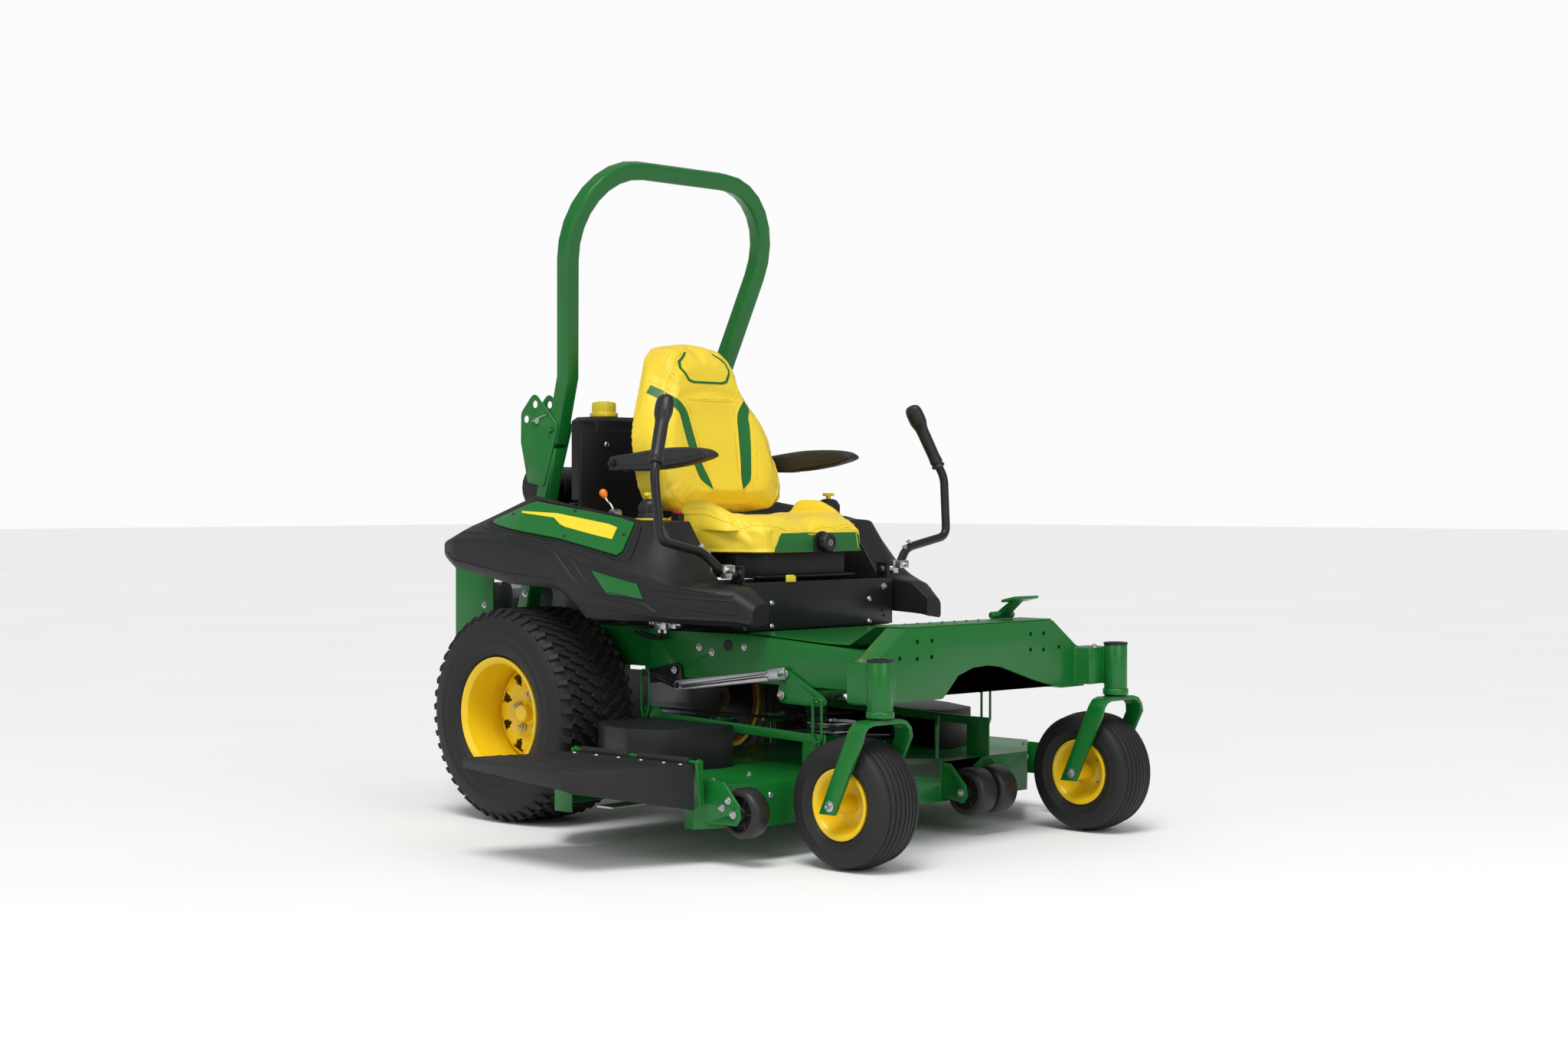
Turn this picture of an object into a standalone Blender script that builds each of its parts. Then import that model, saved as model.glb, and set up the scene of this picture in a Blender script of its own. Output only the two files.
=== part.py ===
"""A zero turn mower with a rear engine, a 60 inch belly deck and a folding roll bar.

Metres. +X is forward, +Y is left, +Z is up. Every function below works from the middle of the
rear axle, at ground height. The empty called mower carries the whole machine to its own origin,
which is under the middle of its outer box.
"""

from math import asin, atan2, cos, pi, radians, sin

import bmesh
import bpy
from mathutils import Matrix, Vector

# ---------------------------------------------------------------- driving dimensions
GAP = 0.0003             # between two pieces that touch
RUNNING = 0.0005         # between a pin and its bore
FINE = 0.006             # usual sheet thickness
WHEELBASE = 1.2936
ORIGIN_X = 0.42          # middle of the outer box, ahead of the rear axle
ORIGIN_Y = -0.17         # the discharge chute widens the right side
SIDES = {"left": 1, "right": -1}

DRIVE_R, DRIVE_W, DRIVE_Y = 0.305, 0.292, 0.445
DRIVE_BEAD_R, DRIVE_LIP_R, DRIVE_BEAD_Y = 0.150, 0.1665, 0.114
DRIVE_HUB_BACK = 0.030   # the hub stands behind the disc by this
CASTER_R, CASTER_W, CASTER_Y, CASTER_TRAIL = 0.165, 0.148, 0.4886, 0.081
CASTER_BEAD_R, CASTER_LIP_R, CASTER_BEAD_Y = 0.078, 0.0904, 0.052
CASTER_HUB_HALF, CASTER_AXLE_R = 0.080, 0.008
DRIVE_STEPS, CASTER_STEPS = 28, 24   # a tyre and its rim share these, so that their facets nest

BARREL_R, BARREL_BORE, BARREL_LOW, BARREL_TOP = 0.032, 0.0200, 0.3814, 0.5211
FORK_BAR, FORK_T, FORK_HALF, FORK_TOP = 0.050, 0.011, 0.0965, 0.3765
FORK_CORNER = 0.045

RAIL_OUT, RAIL_W, RAIL_LOW, RAIL_TOP = 0.320, 0.050, 0.425, 0.554
RAIL_NOSE_TOP, RAIL_WALL, RAIL_SLOPE_X = 0.523, 0.004, 0.725
TAIL_OUT, TAIL_W, TAIL_LOW, TAIL_TOP, TAIL_END = 0.272, 0.055, 0.445, 0.548, -0.555
BEAM_X, BEAM_DEPTH, BEAM_LOW, BEAM_TOP, BEAM_WALL = 1.300, 0.070, 0.403, 0.590, 0.006
BEAM_HALF, BEAM_TOP_HALF, BEAM_STEP_Z, BEAM_STEP_Y = 0.448, 0.305, 0.520, 0.406
PLATFORM_HALF, PLATFORM_T, PLATFORM_X = 0.300, 0.004, 0.735

ROPS_TUBE, ROPS_WALL, ROPS_LEAN, ROPS_LEAN_Z0 = 0.050, 0.004, 0.265, 1.300
ROPS_LEG_Y, ROPS_BEND_Z, ROPS_SPLAY, ROPS_TOP, ROPS_ARC = 0.305, 1.275, 0.226, 1.900, 0.220
ROPS_PIVOT_Z, ROPS_FOOT_Z, ROPS_END = 1.120, 0.562, 0.035
FOLD_PLATE_T, FOLD_PLATE_REACH = 0.006, 0.142

GUARD_X, GUARD_HALF, GUARD_FACE_HALF, GUARD_CORNER_X = -0.620, 0.330, 0.220, -0.500
GUARD_LOW, GUARD_TOP, GUARD_T, GUARD_FRONT_X = 0.420, 0.805, 0.006, -0.320

SEAT_BASE_REAR, SEAT_BASE_FRONT, SEAT_BASE_HALF = 0.24, 0.712, 0.296
SEAT_BASE_TOP, SEAT_BASE_T = 0.680, 0.005
PANEL_X, PANEL_HALF, PANEL_LOW, PANEL_TOP = 0.722, 0.300, 0.558, 0.692
SUSPENSION_Z, SUSPENSION_T, SUSPENSION_PIN_R = 0.700, 0.008, 0.008
PAN_LOW, PAN_TOP, PAN_REAR, PAN_FRONT, PAN_HALF = 0.7085, 0.7705, 0.215, 0.688, 0.235
CUSHION_TOP, CUSHION_FRONT, CUSHION_REAR, CUSHION_HALF = 0.868, 0.700, 0.262, 0.272
BOLSTER_TOP, BOLSTER_IN, BOLSTER_OUT = 0.922, 0.215, 0.280
BACK_FRONT_X, BACK_FRONT_Z, BACK_LEAN, BACK_T = 0.360, 0.900, 0.275, 0.110
SHELL_T = 0.022
RECLINE_X, RECLINE_Z = 0.228, 0.860
ARM_PIVOT_X, ARM_PIVOT_Z, ARM_IN, ARM_OUT = 0.199, 1.021, 0.262, 0.314
SEAT_KNOB_Y, SEAT_KNOB_Z, SEAT_KNOB_R, SEAT_KNOB_L = 0.026, 0.797, 0.028, 0.034

LEVER_X, LEVER_Z, LEVER_R = 0.688, 0.716, 0.0125
SWING_Y, SWING_Z = 0.365, 0.730
LEVER_BEND = 0.030

POD_WALL = 0.004
RIDGE_SLOPE, RIDGE_Y, RIDGE_Z, BELT_Y, BELT_Z = -0.170, 0.440, 0.938, 0.505, 0.843
CONSOLE_Z = 0.861
FUEL_CAP_X, FUEL_CAP_Y, FUEL_CAP_R, FUEL_CAP_TOP = 0.411, 0.363, 0.036, 0.938
THROTTLE_X, THROTTLE_Y, THROTTLE_HUB_R, THROTTLE_SHELF = 0.250, 0.350, 0.014, 0.8634

ENGINE_X, CRANKCASE_R, ENGINE_LOW, ENGINE_BLOCK_TOP = -0.300, 0.130, 0.5403, 0.690
SHROUD_TOP, SHROUD_HALF_X, SHROUD_HALF_Y = 0.880, 0.190, 0.205
CLEANER_X, CLEANER_Z, CLEANER_R = -0.265, 0.954, 0.070
TANK_REAR, TANK_FRONT, TANK_HALF, TANK_LOW, TANK_TOP = -0.105, 0.008, 0.206, 0.905, 1.163
TANK_CAP_Y, TANK_CAP_R = -0.130, 0.042

DECK_MID, DECK_HALF, DECK_REAR, DECK_FRONT = 0.0125, 0.7425, 0.345, 1.058
DECK_LOW, DECK_TOP, DECK_WALL = 0.090, 0.200, 0.005
SPINDLE_X, SPINDLE_SIDE_X, SPINDLE_PITCH = 0.750, 0.610, 0.484
BLADE_R, BLADE_W, BLADE_T, BLADE_Z = 0.242, 0.060, 0.006, 0.110
PULLEY_R, PULLEY_LOW, PULLEY_TOP = 0.070, 0.272, 0.298
SHAFT_R, HOUSING_R, HOUSING_TOP = 0.0125, 0.055, 0.262
BELT_T, BELT_H, BELT_MID_Z, BELT_CLEAR = 0.008, 0.007, 0.285, 0.0012
CLUTCH_R, IDLER_R, IDLER_X, IDLER_Y = 0.050, 0.035, 0.420, 0.105
COVER_TOP, COVER_WALL, COVER_IN = 0.312, 0.004, 0.357
CHUTE_HINGE_Y, CHUTE_HINGE_Z, CHUTE_TOP, CHUTE_T = -0.745, 0.262, 0.257, 0.008
CHUTE_OUT, CHUTE_REAR, CHUTE_FRONT = -1.085, 0.440, 0.990
CHUTE_BARREL_R, CHUTE_ROD_R = 0.011, 0.005
ROLLER_BORE, ROLLER_BOLT = 0.0066, 0.006
TWIN_X, TWIN_Z, TWIN_R, TWIN_Y, TWIN_W, TWIN_GAP = 1.130, 0.121, 0.066, 0.130, 0.075, 0.012
SIDE_ROLLER_R, SIDE_ROLLER_Z, SIDE_ROLLER_W = 0.064, 0.137, 0.060
RIGHT_ROLLER_X, RIGHT_ROLLER_Y = 1.085, -0.665
LEFT_ROLLER_X, LEFT_ROLLER_Y = 1.030, 0.690

LIFT_FRONT_X, LIFT_FRONT_Z, LIFT_ARM, LIFT_LINK_ARM = 0.890, 0.400, 0.140, 0.055
LIFT_REAR_X, LIFT_REAR_Z, LIFT_REAR_ARM = 0.478, 0.446, 0.107
LIFT_SHAFT_R, LIFT_PIN_R, LINK_LEAN = 0.012, 0.005, 0.010
CRANK_Y, CRANK_T, LINK_T, HANGER_Y, HANGER_R = 0.3235, 0.006, 0.006, 0.3475, 0.004
TAB_Y, TAB_T = 0.3345, 0.006
HANGER_BEND, HANGER_CORNER, HANGER_SLACK = 0.0155, 0.0080, 0.0001
REAR_BOLT_Z, FRONT_BOLT_Z = 0.316, 0.284
PEDAL_X, PEDAL_Z, PEDAL_Y = 1.205, 0.6048, 0.200

# colours: base colour, roughness, metallic
GREEN = ("green_paint", (0.010, 0.130, 0.022), 0.30, 0.0)
YELLOW = ("yellow_paint", (0.860, 0.620, 0.020), 0.35, 0.0)
VINYL = ("yellow_vinyl", (0.860, 0.680, 0.060), 0.55, 0.0)
BLACK = ("black_plastic", (0.022, 0.022, 0.024), 0.55, 0.0)
SHEET = ("black_sheet", (0.015, 0.015, 0.016), 0.40, 0.2)
RUBBER = ("black_rubber", (0.018, 0.018, 0.019), 0.80, 0.0)
STEEL = ("bright_steel", (0.550, 0.550, 0.560), 0.35, 1.0)
CAST = ("cast_metal", (0.230, 0.230, 0.240), 0.55, 0.8)
RED = ("red_plastic", (0.700, 0.020, 0.030), 0.40, 0.0)
ORANGE = ("orange_plastic", (0.900, 0.250, 0.020), 0.40, 0.0)


# ---------------------------------------------------------------- helpers
def clear_scene():
    for item in list(bpy.data.objects):
        bpy.data.objects.remove(item)


def material(kind):
    name, colour, roughness, metallic = kind
    made = bpy.data.materials.get(name)
    if made is None:
        made = bpy.data.materials.new(name)
        made.use_nodes = True
        shader = made.node_tree.nodes["Principled BSDF"]
        shader.inputs["Base Color"].default_value = (*colour, 1.0)
        shader.inputs["Roughness"].default_value = roughness
        shader.inputs["Metallic"].default_value = metallic
    return made


def place(name, solid, kind, pivot=(0.0, 0.0, 0.0)):
    """Make an object of a bmesh that is drawn in the machine's frame, with its origin at pivot."""
    bmesh.ops.recalc_face_normals(solid, faces=solid.faces)
    bmesh.ops.translate(solid, verts=solid.verts, vec=-Vector(pivot))
    mesh = bpy.data.meshes.new(name)
    solid.to_mesh(mesh)
    solid.free()
    mesh.shade_smooth()
    mesh.set_sharp_from_angle(angle=radians(35))
    piece = bpy.data.objects.new(name, mesh)
    piece.location = pivot
    piece.parent = bpy.data.objects["mower"]
    mesh.materials.append(material(kind))
    bpy.context.scene.collection.objects.link(piece)
    return piece


def combine(piece, operation, label, solid):
    """Join a second solid to a piece, or cut it away. The second solid stays as a hidden helper."""
    helper = place(f"{piece.name}_{label}", solid, GREEN, piece.location)
    helper.hide_render = True
    helper.display_type = "WIRE"
    step = piece.modifiers.new(label, "BOOLEAN")
    step.operation = operation
    step.solver = "EXACT"
    step.use_self = True
    step.object = helper


def to_space(axis, u, v, w):
    """(u, v) across the axis and w along it: y-z for x, x-z for y, x-y for z."""
    return {"x": (w, u, v), "y": (u, w, v), "z": (u, v, w)}[axis]


def prism(solid, outline, axis, low, high):
    """An outline pushed along an axis. Returns its points."""
    before = set(solid.verts)
    ring = [solid.verts.new(to_space(axis, u, v, low)) for u, v in outline]
    face = solid.faces.new(ring)
    pushed = bmesh.ops.extrude_face_region(solid, geom=[face])["geom"]
    tops = [item for item in pushed if isinstance(item, bmesh.types.BMVert)]
    bmesh.ops.translate(solid, verts=tops, vec=Vector(to_space(axis, 0, 0, high - low)))
    return [vert for vert in solid.verts if vert not in before]


def box(solid, x, y, z):
    """A block between two values on each axis."""
    low, high = sorted(x)
    return prism(solid, [(y[0], z[0]), (y[1], z[0]), (y[1], z[1]), (y[0], z[1])], "x", low, high)


def turned(solid, profile, axis, centre, steps, ring=False):
    """Spin (radius, along) points round an axis through centre. A ring's profile is closed."""
    before = set(solid.verts)
    along = Vector(to_space(axis, 0, 0, 1))
    out = Vector(to_space(axis, 1, 0, 0))
    verts = [solid.verts.new(Vector(centre) + out * r + along * h) for r, h in profile]
    pairs = zip(verts, verts[1:] + verts[:1] if ring else verts[1:])
    edges = [solid.edges.new(pair) for pair in pairs]
    bmesh.ops.spin(
        solid, geom=verts + edges, cent=centre, axis=along, angle=2 * pi, steps=steps, use_merge=True
    )
    fresh = [vert for vert in solid.verts if vert not in before]
    bmesh.ops.remove_doubles(solid, verts=fresh, dist=1e-6)
    return [vert for vert in solid.verts if vert not in before]


def disc(solid, axis, centre, radius, low, high, steps=16):
    """A round bar along an axis, from low to high on that axis."""
    spot = list(centre)
    spot["xyz".index(axis)] = 0.0
    return turned(solid, [(0, low), (radius, low), (radius, high), (0, high)], axis, spot, steps)


def collar(solid, axis, centre, outer, inner, low, high, steps=16):
    """A round bar with a bore."""
    spot = list(centre)
    spot["xyz".index(axis)] = 0.0
    profile = [(inner, low), (outer, low), (outer, high), (inner, high)]
    return turned(solid, profile, axis, spot, steps, ring=True)


def sweep(solid, section, path, closed=False):
    """Push a flat section along a path of points, with mitred corners."""
    points = [Vector(point) for point in path]
    count = len(points)
    first = (points[1] - points[0]).normalized()
    side = first.cross(Vector((0, 0, 1)) if abs(first.z) < 0.9 else Vector((1, 0, 0))).normalized()
    rise = side.cross(first)
    ring = [solid.verts.new(points[0] + side * u + rise * v) for u, v in section]
    start = list(ring)
    for index in range(1, count + closed):
        here, back = points[index % count], points[index - 1]
        ahead = points[(index + 1) % count] if closed else points[min(index + 1, count - 1)]
        run = (here - back).normalized()
        turn = (run + ((ahead - here).normalized() if ahead != here else run)).normalized()
        if closed and index == count:
            step = start
        else:
            step = []
            for vert in ring:
                reach = (here - vert.co).dot(turn) / run.dot(turn)
                step.append(solid.verts.new(vert.co + run * reach))
        size = len(ring)
        for k in range(size):
            solid.faces.new((ring[k], ring[(k + 1) % size], step[(k + 1) % size], step[k]))
        ring = step
    if not closed:
        solid.faces.new(start[::-1])
        solid.faces.new(ring)


def round_section(radius, sides):
    return [(radius * cos(2 * pi * k / sides), radius * sin(2 * pi * k / sides)) for k in range(sides)]


def rounded_path(points, radius, steps=4):
    """Turn each corner of a path into an arc."""
    corners = [Vector(point) for point in points]
    smooth = [corners[0]]
    for back, here, ahead in zip(corners, corners[1:], corners[2:]):
        to_back, to_ahead = (back - here).normalized(), (ahead - here).normalized()
        half = to_back.angle(to_ahead) / 2
        trim = radius / max(abs(sin(half) / cos(half)), 1e-6)
        middle = here + (to_back + to_ahead).normalized() * (radius / sin(half))
        start = (here + to_back * trim - middle).normalized()
        end = (here + to_ahead * trim - middle).normalized()
        for k in range(steps + 1):
            smooth.append(middle + start.slerp(end, k / steps) * radius)
    return smooth + [corners[-1]]


def wrap(wheels, steps=6):
    """The line of a belt round wheels of (x, y, radius, turn), turn being 1 for anticlockwise."""
    runs = []
    for here, ahead in zip(wheels, wheels[1:] + wheels[:1]):
        span = Vector((ahead[0] - here[0], ahead[1] - here[1]))
        lean = asin((here[3] * here[2] - ahead[3] * ahead[2]) / span.length)
        runs.append(atan2(span.y, span.x) + lean)
    line = []
    for index, (x, y, radius, turn) in enumerate(wheels):
        start, end = runs[index - 1], runs[index]
        swing = (end - start) % (2 * pi) if turn > 0 else -((start - end) % (2 * pi))
        for k in range(steps + 1):
            angle = start + swing * k / steps - turn * pi / 2
            line.append((x + radius * cos(angle), y + radius * sin(angle)))
    return line


def loft(solid, sections):
    """Skin a row of sections that have the same number of points, and close both ends."""
    rings = [[solid.verts.new(point) for point in section] for section in sections]
    size = len(rings[0])
    for near, far in zip(rings, rings[1:]):
        for k in range(size):
            solid.faces.new((near[k], near[(k + 1) % size], far[(k + 1) % size], far[k]))
    solid.faces.new(rings[0][::-1])
    solid.faces.new(rings[-1])


def mirrored_y(outline, side):
    return [(x, side * y) for x, y in outline]


def span_y(side, near, far):
    """Two values on y, in rising order, for the left or right side."""
    return tuple(sorted((side * near, side * far)))


# ---------------------------------------------------------------- wheels
def tyre(name, centre, radius, width, bead_r, bead_y, lip_r, steps):
    half = width / 2
    bulge = (lip_r + radius) / 2
    tread, wall = 0.018, 0.010
    outer = [
        (bead_r, bead_y), (lip_r + 0.0015, bead_y), (bulge - 0.02, half - 0.003), (bulge, half),
        (radius - 0.016, half - 0.012), (radius - 0.003, half - 0.036), (radius, half * 0.45),
    ]
    inner = [(radius - tread, half * 0.6), (bulge, half - wall), (bead_r, bead_y - wall)]
    flip = [(r, -h) for r, h in reversed(outer)]
    profile = [*outer, *flip, *[(r, -h) for r, h in reversed(inner)], *inner]
    solid = bmesh.new()
    turned(solid, profile, "y", centre, steps, ring=True)
    return place(name, solid, RUBBER, centre)


def drive_rim(name, centre, side):
    """A deep dished wheel: the disc is at mid width, and its hub reaches in to the axle."""
    wall, lip = 0.004, 0.131
    bore = DRIVE_BEAD_R - GAP - wall
    seat = DRIVE_BEAD_R - GAP
    profile = [
        (0, 0.045), (0.030, 0.045), (0.035, 0.003), (bore, 0.003), (bore, lip - 0.006), (DRIVE_LIP_R - 0.004, lip),
        (DRIVE_LIP_R, lip - 0.004), (DRIVE_LIP_R, DRIVE_BEAD_Y + GAP), (seat, DRIVE_BEAD_Y + GAP),
        (seat, -DRIVE_BEAD_Y - GAP), (DRIVE_LIP_R, -DRIVE_BEAD_Y - GAP), (DRIVE_LIP_R, -0.122), (bore, -0.122),
        (bore, -0.003), (0.050, -0.003), (0.050, -DRIVE_HUB_BACK), (0, -DRIVE_HUB_BACK),
    ]
    solid = bmesh.new()
    turned(solid, [(r, side * h) for r, h in profile], "y", centre, DRIVE_STEPS)
    return place(name, solid, YELLOW, centre)


def caster_rim(name, centre):
    wall = 0.003
    seat = CASTER_BEAD_R - GAP
    bore = seat - wall
    edge, lip = CASTER_BEAD_Y + GAP, CASTER_BEAD_Y + 0.011
    hub, hole = 0.022, CASTER_AXLE_R + RUNNING
    half = [
        (hole, CASTER_HUB_HALF), (hub, CASTER_HUB_HALF), (hub, 0.006), (bore, 0.006), (bore, lip),
        (CASTER_LIP_R, lip), (CASTER_LIP_R, edge), (seat, edge),
    ]
    solid = bmesh.new()
    turned(solid, half + [(r, -h) for r, h in reversed(half)], "y", centre, CASTER_STEPS, ring=True)
    return place(name, solid, YELLOW, centre)


def caster_fork(name, side):
    """A flat bar bent over the tyre, with the swivel stem above and the axle below."""
    pivot = (WHEELBASE + CASTER_TRAIL, side * CASTER_Y, FORK_TOP)
    inner_half, shoulder = FORK_HALF - FORK_T, FORK_TOP - FORK_CORNER
    foot = CASTER_R - 0.022
    outer = [(FORK_HALF, foot), (FORK_HALF, shoulder)]
    inner = [(inner_half, foot), (inner_half, shoulder - 0.004)]
    for k in (1, 2, 3):
        swing = pi / 2 * k / 3
        outer.append((FORK_HALF - FORK_CORNER * (1 - cos(swing)), shoulder + FORK_CORNER * sin(swing)))
        bend = FORK_CORNER - FORK_T
        inner.append((inner_half - bend * (1 - cos(swing)), shoulder + bend * sin(swing)))
    arch = outer + [(-y, z) for y, z in reversed(outer)] + [(-y, z) for y, z in inner] + inner[::-1]
    solid = bmesh.new()
    bar = prism(solid, [(y + side * CASTER_Y, z) for y, z in arch], "x", -FORK_BAR / 2, FORK_BAR / 2)
    slope = CASTER_TRAIL / (shoulder - CASTER_R)
    for vert in bar:
        vert.co.x += pivot[0] - slope * max(0.0, shoulder - vert.co.z)
    fork = place(name, solid, GREEN, pivot)
    stem = bmesh.new()
    disc(stem, "z", pivot, BARREL_BORE - RUNNING, FORK_TOP - 0.004, BARREL_TOP - 0.010, 16)
    combine(fork, "UNION", "stem", stem)
    axle = bmesh.new()
    reach = FORK_HALF + 0.009
    disc(axle, "y", (WHEELBASE, 0, CASTER_R), CASTER_AXLE_R, side * CASTER_Y - reach, side * CASTER_Y + reach, 12)
    combine(fork, "UNION", "axle", axle)
    return fork


def wheels():
    for label, side in SIDES.items():
        drive = (0.0, side * DRIVE_Y, DRIVE_R)
        tyre(f"drive_tyre_{label}", drive, DRIVE_R, DRIVE_W, DRIVE_BEAD_R, DRIVE_BEAD_Y, DRIVE_LIP_R, DRIVE_STEPS)
        drive_rim(f"drive_rim_{label}", drive, side)
        front = (WHEELBASE, side * CASTER_Y, CASTER_R)
        tyre(f"caster_tyre_{label}", front, CASTER_R, CASTER_W, CASTER_BEAD_R, CASTER_BEAD_Y, CASTER_LIP_R, CASTER_STEPS)
        caster_rim(f"caster_rim_{label}", front)
        caster_fork(f"caster_fork_{label}", side)


# ---------------------------------------------------------------- frame
def rail_outline(grow=0.0):
    """The side view of a front rail. Its top falls towards the beam."""
    front = BEAM_X - BEAM_DEPTH - GAP + grow * 3
    rear = 0.36 - grow * 3
    low, top, nose = RAIL_LOW - grow, RAIL_TOP + grow, RAIL_NOSE_TOP + grow
    return [(rear, low), (front, low), (front, nose), (RAIL_SLOPE_X, top), (rear, top)]


def lift_lug_outline():
    return wrap([(LIFT_FRONT_X, LIFT_FRONT_Z, 0.024, 1), (LIFT_FRONT_X + 0.03, RAIL_LOW + 0.02, 0.010, 1),
                 (LIFT_FRONT_X - 0.03, RAIL_LOW + 0.02, 0.010, 1)], 3)


def frame_rails():
    solid = bmesh.new()
    box(solid, (0.37, 0.43), (-0.30, 0.30), (TAIL_LOW + 0.004, TAIL_TOP - 0.004))
    rails = place("frame_rails", solid, GREEN)
    bars = bmesh.new()
    for side in (1, -1):
        prism(bars, rail_outline(), "y", *span_y(side, RAIL_OUT - RAIL_W, RAIL_OUT))
    combine(rails, "UNION", "front_bars", bars)
    tails = bmesh.new()
    for side in (1, -1):
        box(tails, (TAIL_END, 0.44), span_y(side, TAIL_OUT - TAIL_W, TAIL_OUT), (TAIL_LOW, TAIL_TOP))
    combine(rails, "UNION", "tails", tails)
    ties = bmesh.new()
    box(ties, (0.75, 0.80), (-0.28, 0.28), (0.440, 0.500))
    box(ties, (GUARD_X + GUARD_T + GAP, -0.14), (-0.195, 0.195), (ENGINE_LOW - GAP - 0.010, ENGINE_LOW - GAP))
    box(ties, (-0.20, -0.15), (-0.23, 0.23), (0.470, 0.520))
    box(ties, (-0.54, -0.50), (-0.23, 0.23), (0.470, 0.533))
    combine(rails, "UNION", "ties", ties)
    lugs = bmesh.new()
    for side in (1, -1):
        prism(lugs, lift_lug_outline(), "y", *span_y(side, 0.276, 0.284))
    combine(rails, "UNION", "lugs", lugs)
    holes = bmesh.new()
    disc(holes, "y", (LIFT_FRONT_X, 0, LIFT_FRONT_Z), LIFT_SHAFT_R + RUNNING, -0.35, 0.35, 16)
    disc(holes, "y", (LIFT_REAR_X, 0, LIFT_REAR_Z), LIFT_SHAFT_R + RUNNING, -0.35, 0.35, 16)
    disc(holes, "z", (ENGINE_X, 0, 0), 0.040, 0.50, 0.56, 12)
    combine(rails, "DIFFERENCE", "bores", holes)
    hollow = bmesh.new()
    inset = RAIL_WALL
    for side in (1, -1):
        box(hollow, (TAIL_END - 0.01, -0.21), span_y(side, TAIL_OUT - TAIL_W + inset, TAIL_OUT - inset),
            (TAIL_LOW + inset, TAIL_TOP - inset))
        box(hollow, (0.95, BEAM_X - BEAM_DEPTH + 0.01), span_y(side, RAIL_OUT - RAIL_W + inset, RAIL_OUT - inset),
            (RAIL_LOW + inset, RAIL_NOSE_TOP - inset))
    combine(rails, "DIFFERENCE", "tube_ends", hollow)
    return rails


def beam_outline(inset=0.0):
    """The front view of the beam, with the arched lower edge."""
    low, top = BEAM_LOW + inset, BEAM_TOP - inset
    right = [(-BEAM_HALF + inset, low), (-0.160 - inset, low)]
    arch = [(-0.147, 0.412), (-0.097, 0.459), (-0.036, 0.477), (0.026, 0.480), (0.081, 0.473), (0.152, 0.452),
            (0.224, 0.430), (0.300, 0.412)]
    rise = [(y, z + inset) for y, z in arch]
    left = [(0.345, low), (BEAM_HALF - inset, low)]
    over = [(BEAM_HALF - inset, BEAM_STEP_Z - 0.02), (BEAM_STEP_Y, BEAM_STEP_Z - inset), (BEAM_TOP_HALF, top)]
    return right + rise + left + over + [(-y, z) for y, z in reversed(over)]


def platform_outline():
    """The side view of the foot plate: flat over the rails, then up to the beam."""
    front = BEAM_X - 0.003
    top = [(PLATFORM_X, RAIL_TOP + GAP), (RAIL_SLOPE_X + 0.30, 0.5395), (1.100, 0.5390), (1.190, BEAM_TOP + GAP),
           (front, BEAM_TOP + GAP)]
    return top + [(x, z + PLATFORM_T) for x, z in reversed(top)]


def front_beam():
    solid = bmesh.new()
    prism(solid, beam_outline(), "x", BEAM_X - BEAM_DEPTH, BEAM_X)
    beam = place("front_beam", solid, GREEN)
    hollow = bmesh.new()
    prism(hollow, beam_outline(BEAM_WALL), "x", BEAM_X - BEAM_DEPTH - 0.01, BEAM_X - BEAM_WALL)
    combine(beam, "DIFFERENCE", "channel", hollow)
    arms = bmesh.new()
    for side in (1, -1):
        box(arms, (1.272, 1.352), span_y(side, 0.400, 0.500), (0.412, 0.512))
    combine(beam, "UNION", "arms", arms)
    barrels = bmesh.new()
    for side in (1, -1):
        disc(barrels, "z", (WHEELBASE + CASTER_TRAIL, side * CASTER_Y, 0), BARREL_R, BARREL_LOW, BARREL_TOP, 20)
    combine(beam, "UNION", "barrels", barrels)
    bores = bmesh.new()
    for side in (1, -1):
        disc(bores, "z", (WHEELBASE + CASTER_TRAIL, side * CASTER_Y, 0), BARREL_BORE, 0.35, 0.55, 16)
    combine(beam, "DIFFERENCE", "bores", bores)
    return beam


def foot_platform():
    solid = bmesh.new()
    prism(solid, platform_outline(), "y", -PLATFORM_HALF, PLATFORM_HALF)
    return place("foot_platform", solid, GREEN)


def guard_line(inset=0.0):
    """Half of the guard in plan, from the side plate's front edge to the middle of the rear."""
    return [(GUARD_FRONT_X, GUARD_HALF - inset), (GUARD_CORNER_X - inset * 0.4, GUARD_HALF - inset),
            (GUARD_X + inset, GUARD_FACE_HALF - inset * 0.4)]


def rear_guard():
    outer, inner = guard_line(), guard_line(GUARD_T)
    outline = outer + [(x, -y) for x, y in reversed(outer)] + [(x, -y) for x, y in inner] + inner[::-1]
    solid = bmesh.new()
    prism(solid, outline, "z", GUARD_LOW, GUARD_TOP)
    guard = place("rear_guard", solid, GREEN)
    vents = bmesh.new()
    for row in range(5):
        low = 0.50 + row * 0.050
        box(vents, (GUARD_X - 0.02, GUARD_X + 0.03), (-0.17, 0.17), (low, low + 0.026))
    combine(guard, "DIFFERENCE", "vents", vents)
    return guard


# ---------------------------------------------------------------- roll bar
def rops_x(z):
    return ROPS_LEAN * (z - ROPS_LEAN_Z0)


def rops_point(y, z):
    return (rops_x(z), y, z)


def square_section(size, chamfer):
    half, cut = size / 2, size / 2 - chamfer
    return [(half, -cut), (half, cut), (cut, half), (-cut, half), (-half, cut), (-half, -cut), (-cut, -half), (cut, -half)]


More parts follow.
